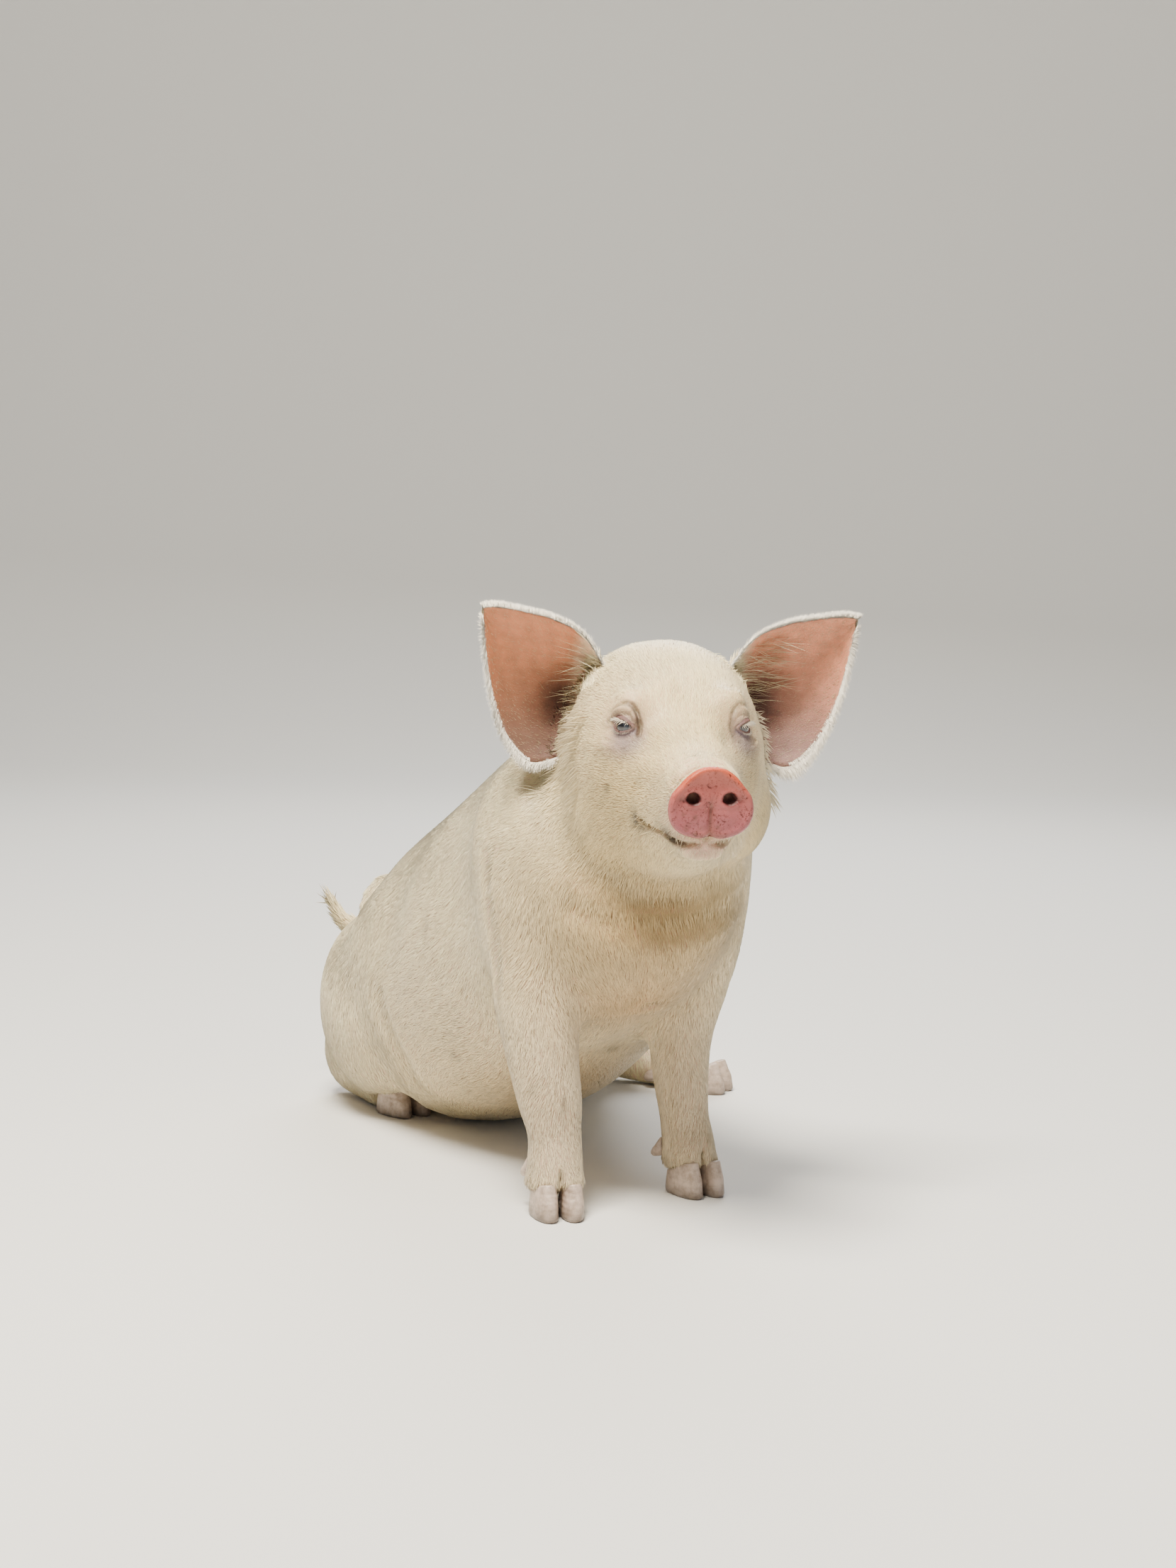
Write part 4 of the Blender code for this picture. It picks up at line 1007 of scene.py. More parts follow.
# Dry mud and dark spots, each at its own place on the side that shows it.
MUD = [
    (HEAD, (-0.0258, -0.1385, -0.053), (0.008, 0.0085, 0.0055), 0.96),
    (HEAD, (-0.0215, -0.1395, -0.058), (0.006, 0.006, 0.0035), 0.92),
    (HEAD, (-0.017, -0.1455, -0.06), (0.005, 0.005, 0.003), 0.75),
    (HEAD, (-0.0414, -0.098, -0.0478), (0.0065, 0.006, 0.008), 0.88),
    (HEAD, (-0.0385, -0.106, -0.052), (0.007, 0.0075, 0.005), 0.7),
    (HEAD, (-0.033, -0.119, -0.053), (0.006, 0.008, 0.003), 0.25),
    (HEAD, (-0.0585, -0.0646, -0.0283), (0.0038, 0.0038, 0.0038), 0.6),
    (HEAD, (0.015, -0.15, -0.06), (0.005, 0.005, 0.003), 0.6),
    (BODY, (-0.109, 0.173, 0.252), (0.003, 0.003, 0.012), 0.4),
    (BODY, (-0.1175, 0.165, 0.2), (0.0028, 0.003, 0.014), 0.4),
    (BODY, (-0.089, 0.173, 0.089), (0.005, 0.004, 0.008), 0.5),
    (BODY, (-0.0595, -0.025, 0.09), (0.0025, 0.003, 0.0075), 0.55),
    (BODY, (-0.0826, -0.0167, 0.0998), (0.003, 0.003, 0.005), 0.45),
    (BODY, (0.0174, 0.0796, 0.1101), (0.006, 0.006, 0.006), 0.6),
]
MUD_COLOUR = (0.040, 0.028, 0.018)
# Specks of soil on the disc of the snout: across, up, size.
SPECKS = [
    (-0.0205, -0.0085, 0.0012), (-0.0155, -0.015, 0.0008), (-0.012, -0.0105, 0.0016),
    (-0.007, -0.019, 0.0009),
    (0.0055, -0.0175, 0.0013), (0.02, -0.004, 0.0008), (-0.0185, -0.0185, 0.0017),
    (-0.0045, -0.006, 0.0006),
    (0.017, -0.014, 0.0007), (-0.011, -0.0225, 0.0014), (0.0035, 0.003, 0.0006),
    (-0.0225, 0.003, 0.0009),
]
# Inside of the ear: pink skin, darkened on the lobe as painted shade and brightened towards the top
# as a painted glow of light through it; the left ear gets more painted glow.
EAR_LOBE_SHADED, EAR_TOP_GLOW = np.array((0.175, 0.092, 0.070)), np.array((0.66, 0.25, 0.125))
LEFT_EAR_GLOW = np.array((0.07, 0.04, 0.045))
# Painted shade deep in the hollow of each ear canal.
CANAL_SHADE = (0.060, 0.020, 0.014)
# Painted shadow under the hood of the upper lid, lilac-grey skin under the lower lid, and the dark
# margin of the lids.
LID_FOLD_SHADOW, UNDER_EYE, LID_MARGIN = (0.15, 0.075, 0.072), (0.26, 0.19, 0.21), (0.11, 0.060, 0.060)
# Painted shadow in the crease of the arch over the eye.
ARCH_SHADOW_COLOUR = (0.050, 0.026, 0.022)
# The arch over the eye: its line, the reach of its shade, and its strength.
ARCH_SHADES = ((EYE_ARCH, 0.0019, 0.82), (EYE_ARCH[3:], 0.0026, 0.94))
LEFT_ARCH_SHADE = 0.45
DISC_FOOT, DISC_TOP = np.array((0.34, 0.105, 0.125)), np.array((0.46, 0.110, 0.078))
DISC_RIM_GLOW = (0.58, 0.095, 0.035)
# Painted shade inside the nostrils, and a darker patch running out from the side of each.
NOSTRIL_SIDE_DARKENING, NOSTRIL_SHADE = (0.15, 0.040, 0.035), (0.045, 0.012, 0.012)
SPECK_COLOUR, GROOVE_DARKENING, LIP_SOIL = (0.12, 0.06, 0.04), (0.22, 0.085, 0.060), (0.25, 0.10, 0.065)


def disc_spread(s):
    """How far out a place lies on the disc of the snout: 1 on its edge."""
    high = s[:, 2] / SNOUT_HALF_HEIGHT
    return np.hypot(s[:, 0] / (SNOUT_HALF_WIDTH * np.interp(high, *SNOUT_FLARE)), high)


def blend(colours, wanted, share):
    return colours + share[:, None] * (np.array(wanted) - colours)


def disc_markings(colours, points):
    """The pink disc of the snout, its nostrils and the soil on it, with a painted glow on its upper
    rim and painted shade inside the nostrils.
    """
    snout = in_frame(SNOUT, points)
    across, back, high = snout.T
    spread = disc_spread(snout)
    disc = smooth_step(0.010, 0.002, back) * (spread < 1.12)
    disc = disc + (1 - disc) * 0.6 * smooth_step(0.020, 0.006, back) * (spread < 1.2)
    up = np.clip(high / SNOUT_HALF_HEIGHT * 0.5 + 0.5, 0, 1)[:, None]
    colours = blend(colours, (1 - up) * DISC_FOOT + up * DISC_TOP, disc)
    # The orange upper rim of the disc: its own colour brightened as a painted glow of light through
    # the thin edge.
    rim = disc * smooth_step(0.80, 1.0, spread) * smooth_step(0.0, 0.02, high)
    colours = blend(colours, DISC_RIM_GLOW, rim * 0.85)
    for side in SIDES:
        off = np.hypot((across - side * NOSTRIL_X) / 0.0056, (high - NOSTRIL_Z) / 0.0052)
        # A darker patch running out from the outer side of each nostril, over its notch.
        smear = ((across - side * (NOSTRIL_X + 0.0052)) / 0.0055) ** 2
        smear = np.exp(-smear - ((high - NOSTRIL_Z + 0.0002) / 0.0022) ** 2)
        colours = blend(colours, NOSTRIL_SIDE_DARKENING, disc * smear * 0.75)
        # Painted shade inside each nostril.
        colours = blend(colours, NOSTRIL_SHADE, disc * smooth_step(1.25, 0.8, off))
    for x, z, reach in SPECKS:
        ragged = 0.0005 * np.sin(high * 2900 + x * 9000) + 0.0004 * np.sin(across * 3700)
        off = np.hypot(across - x + ragged, (high - z + ragged) * 0.8) / reach
        colours = blend(colours, SPECK_COLOUR, disc * 0.65 * np.exp(-(off**2)))
    # Darker along the groove down the middle of the disc.
    groove = disc * np.exp(-((across / 0.0022) ** 2)) * smooth_step(0.008, -0.004, high)
    colours = blend(colours, GROOVE_DARKENING, groove * 0.6)
    foot = disc * np.exp(-(((high + 0.0245) / 0.0060) ** 2) - (across / 0.016) ** 2)
    return blend(colours, LIP_SOIL, foot * 0.55)


def markings(points, normals, of_hair):
    """The colour of the skin or of the hair at each point."""
    colours = np.tile(np.array(HAIR_BASE if of_hair else SKIN_BASE), (len(points), 1))
    skull = in_frame(SKULL, points)
    local = {HEAD: skull, BODY: points - np.array(GROUND)}
    for region, at, reach, skin, hair, strength in BOTH_SIDES:
        for side in both_if_aside(at):
            share = strength * blob(local[region], at, reach, side)
            colours = blend(colours, hair if of_hair else skin, share)
    # Inside of the ears: thin pink skin, with a painted glow of light coming through towards the
    # top and painted shade on the lobe.
    across, _, high = skull.T
    facing = (normals @ np.array(SKULL.to_3x3()))[:, 1]
    inner = ear_share(points) * smooth_step(0.1, -0.4, facing)
    up = smooth_step(-0.010, 0.085, high + 0.12 * (np.abs(across) - 0.10))[:, None]
    pink = (1 - up) * EAR_LOBE_SHADED + up * EAR_TOP_GLOW + (skull[:, :1] > 0) * LEFT_EAR_GLOW
    streak = 1 + 0.10 * np.sin(across * 260 + high * 420) * np.sin(high * 310 - across * 150)
    colours = blend(colours, pink * streak[:, None], inner * (0.30 if of_hair else 0.97))
    # Painted shade deep in the hollow of each ear canal.
    canal = blob(np.abs(skull), (0.080, 0.036, 0.028), (0.018, 0.03, 0.025))
    colours = blend(colours, CANAL_SHADE, canal * inner * 0.95)
    # The folds of the lids: painted shadow under the hood of the upper one, lilac-grey skin under
    # the lower one, and painted shadow along the crease of the arch above.
    for side, place in EYES.items():
        q, length, edge = about_eye(points, side, place)
        near = (length < EYE_REACH) & (q[:, 1] < 0.002)
        over, under = (near * smooth_step(3, 7, edge) * smooth_step(far, end, edge)
                       * smooth_step(-way * 0.001, way * 0.003, q[:, 2])
                       for far, end, way in ((22, 15, 1), (26, 14, -1)))
        colours = blend(colours, LID_FOLD_SHADOW, over * 0.92)
        colours = blend(colours, UNDER_EYE, under * 0.85)
        for line, reach, strength in ARCH_SHADES:
            gap = line_distance(skull, mirrored(line, side))
            strength *= LEFT_ARCH_SHADE if side == LEFT else 1.0
            colours = blend(colours, ARCH_SHADOW_COLOUR, strength * np.exp(-((gap / reach) ** 2)))
    if not of_hair:
        colours = disc_markings(colours, points)
        # The wet margin of each lid.
        for side, place in EYES.items():
            q, length, edge = about_eye(points, side, place)
            near = (length < EYE_RADIUS + 0.003) & (q[:, 1] < 0)
            colours = blend(colours, LID_MARGIN, near * np.exp(-((edge / 4.5) ** 2)) * 0.90)
    for region, at, reach, strength in MUD:
        x, y, z = local[region].T
        speckle = 0.75 + 0.25 * np.sin(x * 2300 + z * 1900) * np.sin(y * 2100)
        share = strength * 1.3 * blob(local[region], at, reach) * speckle
        colours = blend(colours, MUD_COLOUR, np.clip(share, 0, strength))
    return np.clip(colours, 0.01, 0.95)


paint(hide.data, markings(hide_points, hide_normals, False))
# The disc of the snout and the rims of the lids are damp.
on_snout = in_frame(SNOUT, hide_points)
damp = smooth_step(0.010, 0.002, on_snout[:, 1]) * (disc_spread(on_snout) < 1.1)
for side, place in EYES.items():
    q, length, edge = about_eye(hide_points, side, place)
    damp = np.maximum(damp, (length < EYE_RADIUS + 0.003) & (q[:, 1] < 0) & (np.abs(edge) < 5))
wet = hide.data.attributes.new("wet", "FLOAT", "POINT")
wet.data.foreach_set("value", damp.astype(np.float32))

# How strongly the clumps of the coat are painted lit and shaded.
CLUMP_LIGHT_AND_SHADE = 0.085
# Hair is darker at the root as painted shade between the hairs, and paler at the tip.
HAIR_ROOT_SHADE = (0.58, 0.90, 0.90, 1.06)
STAIN = np.array((0.50, 0.44, 0.36))


def hair_colours(points, normals, spread, lift):
    """Four colours for each tuft, by the place of each of its points: darker at the root as painted
    shade between the hairs, and paler towards the tip.
    """
    roots = points[:, 0]
    # The coat lies in small clumps, with painted light on them and painted shade between them.
    clumps = CLUMP_LIGHT_AND_SHADE * np.sin(roots @ (620, 410, 350)) * np.sin(roots @ (-330, 540, 610))
    clumps += CLUMP_LIGHT_AND_SHADE * np.sin(roots @ (1500, -900, 1200)) * np.sin(roots @ (800, 1400, -1000))
    shade = 1 + clumps + spread * dice.standard_normal(len(roots))
    warm = 0.012 * dice.standard_normal(len(roots))
    tone = shade[:, None] * np.stack([1 + warm, np.ones(len(roots)), 1 - 1.6 * warm], 1)
    # Some hairs of the face are stained by dust and mud, and a few on the body.
    odds = 0.012 + 0.055 * blob(in_frame(SKULL, roots), (0.0, -0.110, -0.020), (0.06, 0.05, 0.045))
    tone[dice.random(len(roots)) < odds] *= STAIN
    fade = HAIR_ROOT_SHADE if lift == 1.0 else (lift,) * 4
    colours = np.empty((len(points), 4, 3))
    middle = points[:, 1:3].mean(1)
    for corners, place in (([0], roots), ([1, 2], middle), ([3], points[:, 3])):
        marked = markings(place, normals, True) * tone
        for index in corners:
            colours[:, index] = marked * fade[index]
    return np.clip(colours, 0.01, 0.97)


def batch(made, roots, normals, spread=0.05, lift=1.0, tone=None):
    """All that coat_piece needs of some tufts. A tone, if given, is the colour of them all."""
    colours = hair_colours(made[0], normals, spread, lift)
    if tone:
        colours[:] = tone
    return *made, colours, roots, normals


# The short coat, in pieces by region: name, solids, side (0 both), tufts, width of each. No hair
# grows on the disc of the snout, the lids, the lips and the arch over the eye.
HEAD_NODES = ["head", "lower_jaw", "snout"]
LEGS_FORE = [n for n in HIDDEN if n.startswith("foreleg")]
LEGS_HIND = [n for n in HIDDEN if n.startswith(("thigh", "hock", "hindfoot"))]
COATS = [
    ("coat_face_right", HEAD_NODES, -1, 43000, 0.00040),
    ("coat_face_left", HEAD_NODES, 1, 38000, 0.00040),
    ("coat_neck_right", ["neck", "chest"], -1, 36000, 0.00056),
    ("coat_neck_left", ["neck", "chest"], 1, 29000, 0.00060),
    ("coat_belly_right", ["belly"], -1, 38000, 0.00058),
    ("coat_belly_left", ["belly"], 1, 24000, 0.00072),
    ("coat_rump", ["rump"], 0, 27000, 0.00064),
    ("coat_hind_legs", LEGS_HIND, 0, 37000, 0.00060),
    ("coat_fore_legs", LEGS_FORE, 0, 42000, 0.00050),
]
s = in_frame(SNOUT, middle_of_face)
grows = ~((s[:, 1] < 0.0045) & (disc_spread(s) < 1.12))
grows &= ~((s[:, 1] < 0.016) & (np.hypot(s[:, 0], s[:, 2]) < 0.022))
h = in_frame(SKULL, middle_of_face)
for side, place in EYES.items():
    q, length, edge = about_eye(middle_of_face, side, place)
    bare = np.where(q[:, 2] > 0.001, 15.0, 13.0)
    grows &= ~((length < EYE_RADIUS + 0.0055) & (edge < bare) & (q[:, 1] < 0))
    grows &= line_distance(h * (side, 1, 1), BARE_LIPS) > 0.0016
    grows &= line_distance(h * (side, 1, 1), EYE_ARCH) > 0.0014
from_middle = middle_of_face[:, 0] - SKULL.translation.x

for name, nodes, side, count, wide in COATS:
    wanted = part_of(nodes) & grows
    if side:
        wanted &= side * from_middle > 0
    roots, normals = scatter(wanted, count)
    along, tall, stand = lie_of_coat(roots)
    swirl = 0.20 * np.sin(roots[:, [1, 2, 0]] * 70 + roots[:, [2, 0, 1]] * 45)
    along = ruffled(normals, unit(along) + swirl, 0.13)
    tall = tall * varied(0.75, 0.5, count)
    made = tufts(roots, normals, along, tall, wide * varied(0.7, 0.6, count), stand * 0.6, True)
    coat_piece(name, [batch(made, roots, normals)], nodes)


# The hair of the ears: short on their backs, sparse inside, a pale fringe round each rim that is
# longest on the hanging lobe, and long bristles that cross the cup from its front edge.
EAR_TIP, EAR_BASE = Vector((0.148, 0.0, 0.100)), Vector((0.040, 0.015, 0.010))
# Hair on the back and in the cup: tufts, length, width, stand.
EAR_BACK_HAIR, EAR_CUP_HAIR = (9500, 0.0085, 0.00050, 0.10), (1100, 0.0045, 0.00016, 0.05)
# The fringe's one flat tone: pale hair, whitened further as a painted glow of light through it.
FRINGE_GLOW_TONE, FRINGE_WIDE = (0.94, 0.87, 0.74), 0.00034
# The left cup shows more bristles than the right: how many, and how far up the ear they root.
CUP_BRISTLES = {RIGHT: (230, 0.26), LEFT: (330, 0.42)}
LOBE_HAIR = {RIGHT: 0.0035, LEFT: 0.0095}
SWEEP_COUNT = 2400
for side, word in SIDES.items():
    node = "ear_" + word
    place = ear_place(side)
    turn = np.array(place.to_3x3())
    forward = turn @ (0.10, -1.0, 0.10)
    tip, base = np.array(place @ EAR_TIP), np.array(place @ EAR_BASE)
    run = tip - base
    batches = []
    backs = (across_triangle @ np.array(SKULL.to_3x3()))[:, 1] > 0
    for wanted, (count, tall, wide, stand) in ((backs, EAR_BACK_HAIR), (~backs, EAR_CUP_HAIR)):
        roots, normals = scatter(part_of([node]) & wanted, count)
        centre = base + ((roots - base) @ run / (run @ run))[:, None] * run
        along = ruffled(normals, run * 8 + (roots - centre) * 14, 0.16)
        long = tall * varied(0.6, 0.6, count)
        made = tufts(roots, normals, along, long, wide, stand, True)
        batches.append(batch(made, roots, normals))
    # The fringe, on the very edge, first in front and then behind.
    for edge, first, count in ((0.0, 0.16, 2500), (1.0, 0.10, 3200)):
        share = first + (1 - first) * (np.arange(count) + dice.random(count)) / count
        rim = np.array([place @ ear_point(min(t, 0.999), edge) for t in share])
        inside = np.array([place @ ear_point(min(t * 0.97, 0.999), abs(edge - 0.3)) for t in share])
        out = unit(unit(rim - inside) + 0.35 * unit(run) + 0.20 * dice.standard_normal((count, 3)))
        normals = laid_flat(out, turn @ (0.0, -0.8, 0.6))
        inner_row = (dice.random(count) < 0.30) & (share > 0.5) & (edge > 0)
        inward = np.where(inner_row, 0.0030, 0.0010)[:, None]
        rim = rim + inward * unit(inside - rim) + turn @ (0.0, -0.0010, 0.0)
        long = varied(0.0068, 0.0028, count)
        if edge:
            lobe = np.exp(-(((share - 0.42) / 0.20) ** 2))
            long = long + LOBE_HAIR[side] * lobe * dice.random(count) * ~inner_row
        long = long * np.where(inner_row, 0.62, 1.0)
        lit = unit(0.3 * out + (-0.15, -0.55, 0.80))
        made = tufts(rim - out * 0.001, normals, out, long, FRINGE_WIDE, 0.0, droop=0.10, lit=lit)
        backward = np.tile(-forward, (count, 1))
        # The fringe takes one flat pale tone, partly painted glow of light through the hair.
        batches.append(batch(made, rim, backward, 0.04, tone=FRINGE_GLOW_TONE))
    # The bristles from the front edge and the cheek across the cup.
    count, reach = CUP_BRISTLES[side]
    share = 0.03 + reach * dice.random(count) ** 1.8
    across = 0.03 + 0.50 * dice.random(count) ** 1.3
    roots = np.array([place @ ear_point(t, c) for t, c in zip(share, across)])
    ends = np.array([
        place @ ear_point(min(t + 0.26 + 0.10 * r, 0.97), min(c + 0.10 + 0.34 * r * r, 0.97))
        for t, c, r in zip(share, across, dice.random(count))])
    long = np.minimum(length_of(ends - roots), 0.034) * varied(0.55, 0.55, count)
    along = unit(unit(ends - roots) + 0.13 * dice.standard_normal((count, 3)))
    normals = laid_flat(along, forward)
    lit = unit(0.2 * normals + (-0.15, -0.60, 0.75))
    made = tufts(roots + forward * 0.0012, normals, along, long, 0.00027, 0.16, droop=0.05, lit=lit)
    batches.append(batch(made, roots, np.tile(-forward, (count, 1)), 0.05, 1.05))
    # Hair that sweeps from the crown up over the front of the root.
    near_root = length_of(middle_of_face - np.array(place @ ear_point(0.08, 0.0))) < 0.028
    near_root &= between(-0.03, h[:, 1], 0.045) & (h[:, 2] > 0.03)
    roots, normals = scatter(near_root, SWEEP_COUNT)
    along = laid_flat(normals, unit(run) + turn @ (0.0, 0.25, 0.10))
    along = unit(along + 0.20 * dice.standard_normal((SWEEP_COUNT, 3)) + 0.10 * normals)
    normals = laid_flat(along, normals)
    long = 0.010 * varied(0.6, 0.7, SWEEP_COUNT)
    lit = unit(normals + (-0.1, -0.4, 0.5))
    made = tufts(roots, normals, along, long, 0.00034, 0.03, droop=0.10, lit=lit)
    batches.append(batch(made, roots, normals, 0.06, 1.04))
    coat_piece("coat_" + node, batches, [node])


# The hair of the tail. It lies along the curl towards the tip, and is longest at the end, where it
# makes a pointed tuft.
TAIL_LINE = [
    (-0.018, 0.452, 0.14), (-0.022, 0.484, 0.16), (-0.04, 0.5, 0.182), (-0.064, 0.502, 0.183),
    (-0.08, 0.492, 0.166), (-0.082, 0.484, 0.148), (-0.092, 0.482, 0.143), (-0.106, 0.486, 0.156),
    (-0.118, 0.49, 0.176),
]
TAIL_STEPS = 90
TAIL_TUFTS = 7000
tail_line = [np.array(along_curve(TAIL_LINE, t)) for t in np.linspace(0, 0.999, TAIL_STEPS)]
tail_line = np.array(tail_line) + np.array(GROUND)
tail_run = unit(np.gradient(tail_line, axis=0))
roots, normals = scatter(part_of(["tail"]), TAIL_TUFTS)
nearest = ((roots[:, None] - tail_line[None]) ** 2).sum(2).argmin(1)
along = ruffled(normals, tail_run[nearest], 0.14)
end = smooth_step(62, 86, nearest)
long = 0.0085 * varied(0.7, 0.6, TAIL_TUFTS) + 0.015 * end * dice.random(TAIL_TUFTS)
made = tufts(roots, normals, along, long, 0.00050, 0.12 + 0.24 * end)
coat_piece("coat_tail", [batch(made, roots, normals)], ["tail"])


# Lashes, brow hairs and the sparse long bristles of lips and chin. The lashes root on the margins
# of the lids and hang a little.
LASH_TONE = (0.62, 0.53, 0.41)
UPPER_LASHES, LOWER_LASHES = (46, 0.0060), (30, 0.0030)
LASH_DROOP = np.array((0, 0, -0.42))
batches = []
for side, place in EYES.items():
    turn = np.array(place.to_3x3())
    for way, (count, long) in ((1, UPPER_LASHES), (-1, LOWER_LASHES)):
        t = dice.random(count) * 1.5 - 0.85
        half = np.where(t > 0, LID_OUTER, LID_INNER)
        opening = way * lid_opening(t, side, way > 0) + LID_TILT * t
        azimuth, lift = np.radians(t * half), np.radians(opening + way * 3.0)
        level = np.cos(lift)
        out = np.stack([np.sin(azimuth) * level * side, -np.cos(azimuth) * level, np.sin(lift)], 1)
        roots = to_world(place, out * (EYE_RADIUS + 0.0011))
        fan = out + LASH_DROOP + np.stack([(0.25 + t * 0.3) * side, 0 * t, 0 * t], 1)
        along = unit((fan + 0.24 * dice.standard_normal((count, 3))) @ turn.T)
        normals = laid_flat(along, turn @ (0, -0.2, 1.0))
        long = long * varied(0.7, 0.5, count)
        lit = out @ turn.T
        made = tufts(roots, normals, along, long, 0.00019, 0.0, droop=0.12, lit=lit)
        batches.append(batch(made, roots, normals, tone=LASH_TONE))
on_head = grows & part_of(HEAD_NODES)
aside, ahead, up = np.abs(h[:, 0]), h[:, 1], h[:, 2]
chin = (ahead < -0.085) & (up < -0.040)
brow = (np.abs(aside - 0.050) < 0.012) & (np.abs(up - 0.046) < 0.006) & (ahead < -0.04)
jowl = (aside > 0.060) & (np.abs(up + 0.010) < 0.035) & between(-0.03, ahead, 0.02)
for wanted, count, tall, stand in (
        (chin, 150, 0.012, 0.35), (brow, 24, 0.011, 0.40), (jowl, 420, 0.019, 0.40)):
    roots, normals = scatter(on_head & wanted, count)
    along = ruffled(normals, lie_of_coat(roots)[0], 0.20)
    long = tall * varied(0.6, 0.6, count)
    made = tufts(roots, normals, along, long, 0.00025, stand, droop=0.20)
    batches.append(batch(made, roots, normals))
coat_piece("coat_bristles", batches, HEAD_NODES)


# The hair that hangs over the top of each claw. It is short and coarse, and grows down from the
# swollen edge of the skin.
TOE_TUFTS = 7000
toes = near_toes(middle_of_face) & between(0.018, middle_of_face[:, 2], 0.037)
roots, normals = scatter(toes, TOE_TUFTS)
along = ruffled(normals, np.array((0.0, 0.0, -1.0)) + 0.25 * normals, 0.14)
long = 0.0062 * varied(0.6, 0.7, TOE_TUFTS)
made = tufts(roots, normals, along, long, 0.00048, 0.16)
coat_piece("coat_toes", [batch(made, roots, normals)],
           ["foreleg_lower_right", "foreleg_lower_left", "hindfoot_left"])


# Materials. Skin and hair take their colours from the markings, broken up by fine mottling. Damp
# skin shines. The claws are ringed horn, darker towards the ground.
def set_inputs(tree, node, values):
    """Each input gets a value, or the output that feeds it."""
    for key, value in values.items():
        if isinstance(value, bpy.types.NodeSocket):
            tree.links.new(value, node.inputs[key])
        else:
            node.inputs[key].default_value = value


def add(tree, kind, inputs, output=0, **settings):
    """Adds a node and gives back its output."""
    node = tree.nodes.new(kind)
    for key, value in settings.items():
        setattr(node, key, value)
    set_inputs(tree, node, inputs)
    return node.outputs[output]


def node_material(name, build):
    """A material from a function that gives the inputs of its shader."""
    material = bpy.data.materials.new(name)
    material.use_nodes = True
    tree = material.node_tree
    set_inputs(tree, tree.nodes["Principled BSDF"], build(tree))
    return material


def dress(piece, material):
    piece.data.materials.clear()
    piece.data.materials.append(material)


def object_place(tree):
    return add(tree, "ShaderNodeTexCoord", {}, "Object")


def attribute(tree, name, output):
    return add(tree, "ShaderNodeAttribute", {}, output, attribute_name=name)


def noise(tree, scale, detail, roughness):
    return add(tree, "ShaderNodeTexNoise", {
        "Vector": object_place(tree), "Scale": scale, "Detail": detail, "Roughness": roughness},
        "Fac")


def remapped(tree, value, low, high, to_low=0.0, to_high=1.0):
    """A value stretched from one span to another, and held at its ends."""
    return add(tree, "ShaderNodeMapRange", {
        "Value": value, "From Min": low, "From Max": high, "To Min": to_low, "To Max": to_high},
        "Result")


def scaled(tree, colour, level):
    values = {0: colour, "Scale": level}
    return add(tree, "ShaderNodeVectorMath", values, "Vector", operation="SCALE")


def relief(tree, height, strength, distance):
    return add(tree, "ShaderNodeBump", {
        "Height": height, "Strength": strength, "Distance": distance}, "Normal")


def mottled(tree, scale, low, high):
    """The markings, lighter and darker in patches."""
    level = remapped(tree, noise(tree, scale, 5.0, 0.6), 0.3, 0.7, low, high)
    return scaled(tree, attribute(tree, "tint", "Color"), level)


def skin_shading(tree):
    wet = attribute(tree, "wet", "Fac")
    # Soil sticks to the damp disc in ragged specks, thicker in some places.
    share = wet
    for scale, low, high in ((480.0, 0.51, 0.61), (110.0, 0.42, 0.60)):
        patch = remapped(tree, noise(tree, scale, 8.0, 0.7), low, high)
        share = add(tree, "ShaderNodeMath", {0: patch, 1: share}, "Value", operation="MULTIPLY")
    return {
        "Base Color": add(tree, "ShaderNodeMixRGB", {
            "Fac": share, "Color1": mottled(tree, 90.0, 0.86, 1.12),
            "Color2": (0.24, 0.16, 0.13, 1)}, "Color", blend_type="MULTIPLY"),
        "Roughness": remapped(tree, wet, 0.0, 1.0, 0.55, 0.24),
        "Normal": relief(tree, noise(tree, 900.0, 4.0, 0.65), 0.6, 0.0007),
        "Subsurface Weight": 0.18,
        "Subsurface Radius": (0.006, 0.0025, 0.0015),
        "Subsurface Scale": 1.0,
        "Specular IOR Level": 0.35,
    }


def hair_shading(tree):
    return {"Base Color": mottled(tree, 60.0, 0.93, 1.05), "Roughness": 0.42,
            "Specular IOR Level": 0.45, "Sheen Weight": 0.15}


def eye_shading(tree):
    return {"Base Color": mottled(tree, 900.0, 0.7, 1.4), "Roughness": 0.12,
            "Coat Weight": 1.0, "Coat Roughness": 0.02}


def horn_shading(tree):
    rings = add(tree, "ShaderNodeTexWave", {
        "Vector": object_place(tree), "Scale": 70.0, "Distortion": 3.0, "Detail": 3.0},
        "Fac", wave_type="BANDS", bands_direction="Z")
    ramp = add(tree, "ShaderNodeValToRGB", {"Fac": noise(tree, 120.0, 6.0, 0.65)}, "Color")
    stops = ramp.node.color_ramp.elements
    stops[0].position, stops[0].color = 0.32, (0.30, 0.225, 0.17, 1)
    stops[1].position, stops[1].color = 0.60, (0.56, 0.44, 0.36, 1)
    # The horn grows darker towards the ground.
    height = add(tree, "ShaderNodeSeparateXYZ", {"Vector": object_place(tree)}, "Z")
    return {"Base Color": scaled(tree, ramp, remapped(tree, height, 0.001, 0.012, 0.42, 1.0)),
            "Roughness": 0.42, "Normal": relief(tree, rings, 0.35, 0.0005)}


dress(hide, node_material("pig skin", skin_shading))
hair = node_material("pig hair", hair_shading)
for made in bpy.data.objects:
    if made.name.startswith("coat_"):
        dress(made, hair)
horn = node_material("claw horn", horn_shading)
for claw in claws:
    dress(claw, horn)
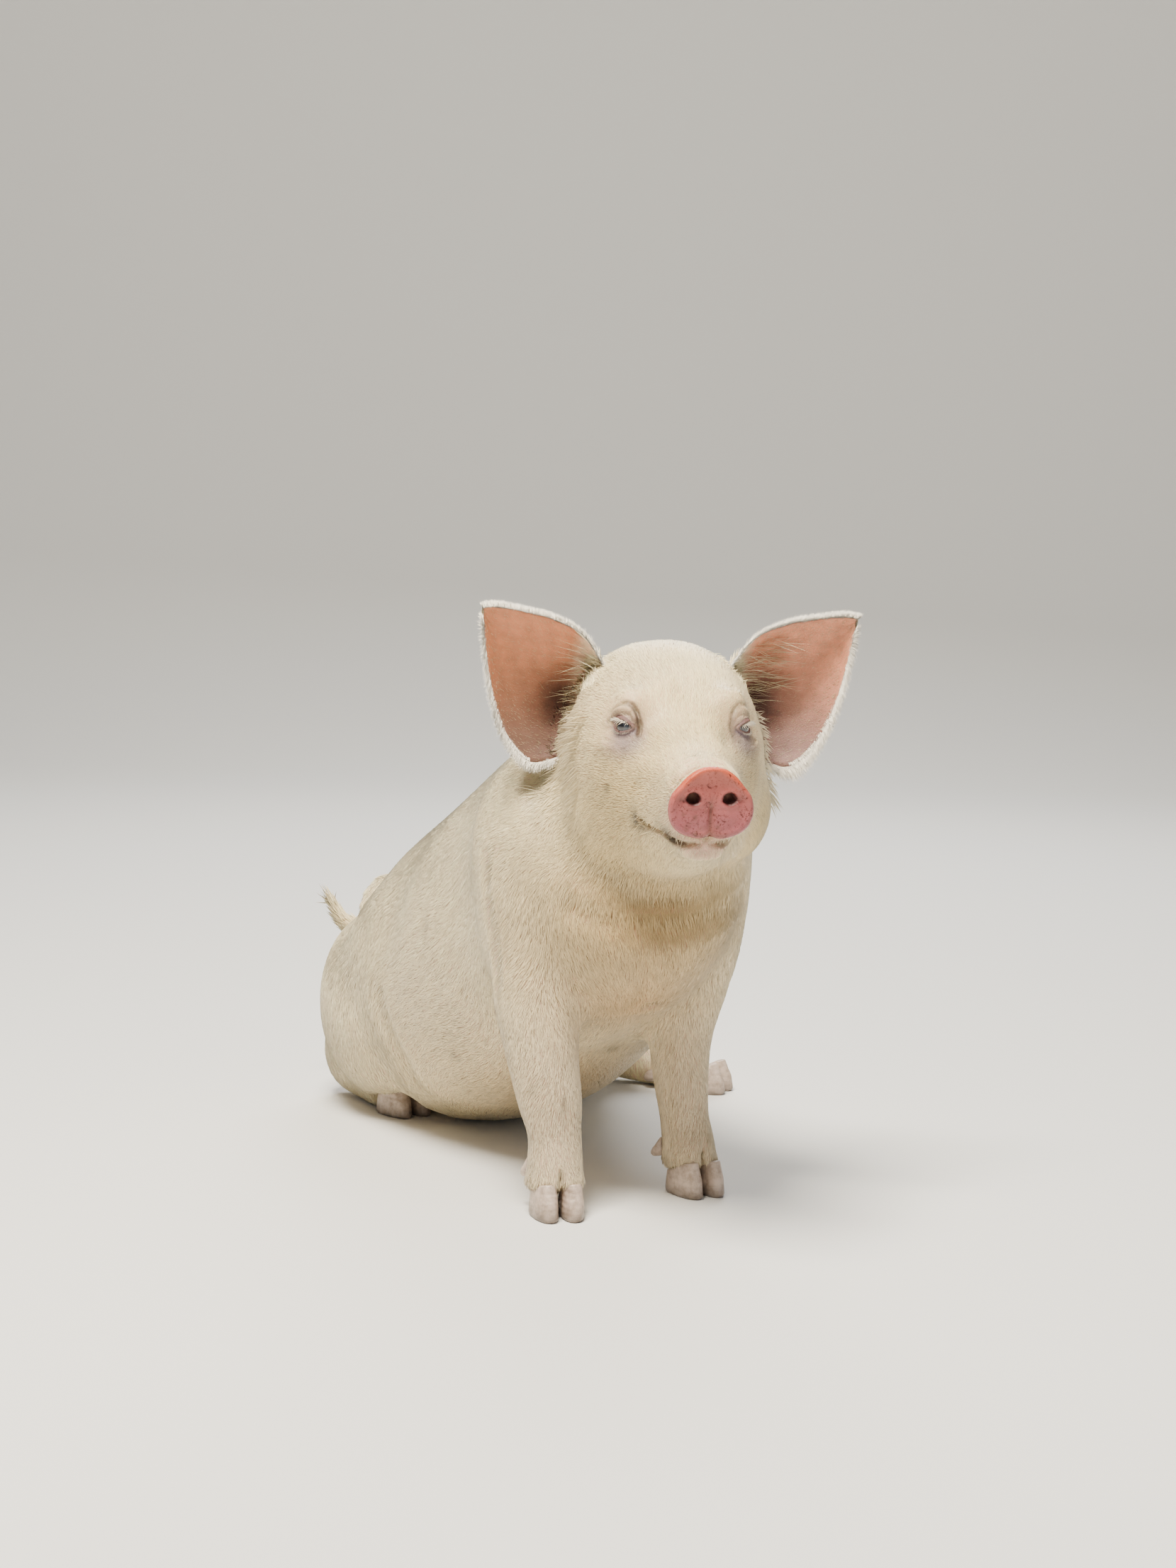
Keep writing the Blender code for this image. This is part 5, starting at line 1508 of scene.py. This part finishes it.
# White, darkened as painted shade under the lids, iris, the dark ring round it and the pupil, by
# degrees from the eye's axis.
EYE_WHITE_SHADED, IRIS = (0.20, 0.17, 0.17), (0.026, 0.032, 0.044)
IRIS_RING, PUPIL = (0.012, 0.014, 0.020), (0.005, 0.005, 0.007)
wet_eye = node_material("wet eye", eye_shading)
for side, eye in eyes.items():
    q = in_frame(EYES[side], coordinates(eye.data))
    off_axis = np.degrees(np.arccos(np.clip(-q[:, 1] / length_of(q), -1, 1)))
    colours = np.tile(np.array(EYE_WHITE_SHADED), (len(q), 1))
    colours = blend(colours, IRIS, smooth_step(46, 40, off_axis))
    ring = smooth_step(45, 41, off_axis) * smooth_step(36, 41, off_axis)
    colours = blend(colours, IRIS_RING, ring)
    colours = blend(colours, PUPIL, smooth_step(24, 19, off_axis))
    paint(eye.data, colours)
    dress(eye, wet_eye)


# Floor, light and camera. The floor is a pale paper sweep: flat under the pig, then curving up
# far behind it.
SWEEP_FLAT, SWEEP_BEND = 2.6, 1.4
SWEEP_NEAR, SWEEP_LONG, SWEEP_WIDE = -3.6, 9.0, 12.0
bm = bmesh.new()
bmesh.ops.create_grid(bm, x_segments=4, y_segments=60, size=0.5)
quarter = SWEEP_BEND * math.pi / 2
sweep = turned(-19)
for v in bm.verts:
    run = (v.co.y + 0.5) * SWEEP_LONG + SWEEP_NEAR
    beyond = run - SWEEP_FLAT
    bend = min(max(beyond, 0.0), quarter) / SWEEP_BEND
    out = min(run, SWEEP_FLAT) + SWEEP_BEND * math.sin(bend)
    rise = SWEEP_BEND * (1 - math.cos(bend)) + max(0.0, beyond - quarter)
    v.co = sweep @ Vector((v.co.x * SWEEP_WIDE, out, rise))
floor = piece_from("floor", bm)
floor.data.shade_smooth()
dress(floor, node_material("floor", lambda tree: {
    "Base Color": (0.80, 0.79, 0.76, 1), "Roughness": 0.85}))


def soft_lamp(name, at, aim_height, size, power, colour=(1, 1, 1)):
    light = bpy.data.lights.new(name, "AREA")
    light.shape = "SQUARE"
    light.size = size
    light.energy = power
    light.color = colour
    lamp = put_in_scene(name, light)
    lamp.location = Vector(at)
    aim = Vector((0, 0, aim_height)) - Vector(at)
    lamp.rotation_euler = aim.to_track_quat("-Z", "Y").to_euler()


soft_lamp("key", (-0.75, -0.75, 2.5), 0.2, 0.9, 195, (1.0, 0.925, 0.79))
soft_lamp("fill", (1.6, -2.6, 1.3), 0.2, 2.4, 14, (0.97, 0.98, 1.0))
soft_lamp("rim", (0.9, 2.0, 1.9), 0.25, 1.4, 58)
world = bpy.data.worlds.new("studio")
world.use_nodes = True
set_inputs(world.node_tree, world.node_tree.nodes["Background"], {
    "Color": (0.90, 0.92, 0.95, 1), "Strength": 0.27})
bpy.context.scene.world = world

CAMERA_AT = Vector((-0.83065, -2.28220, 0.62809))
CAMERA_AHEAD = Vector((0.32610, 0.93782, -0.11892))
CAMERA_RIGHT = Vector((0.9452, -0.32559, 0.02426))
lens = bpy.data.cameras.new("camera")
lens.lens = 71.6
lens.sensor_width = 36
lens.sensor_fit = "AUTO"
camera = put_in_scene("camera", lens)
forward = CAMERA_AHEAD.normalized()
right = (CAMERA_RIGHT - forward * CAMERA_RIGHT.dot(forward)).normalized()
axes = Matrix((right, right.cross(forward), -forward)).transposed()
camera.matrix_world = Matrix.Translation(GROUND + CAMERA_AT) @ axes.to_4x4()
bpy.context.scene.camera = camera
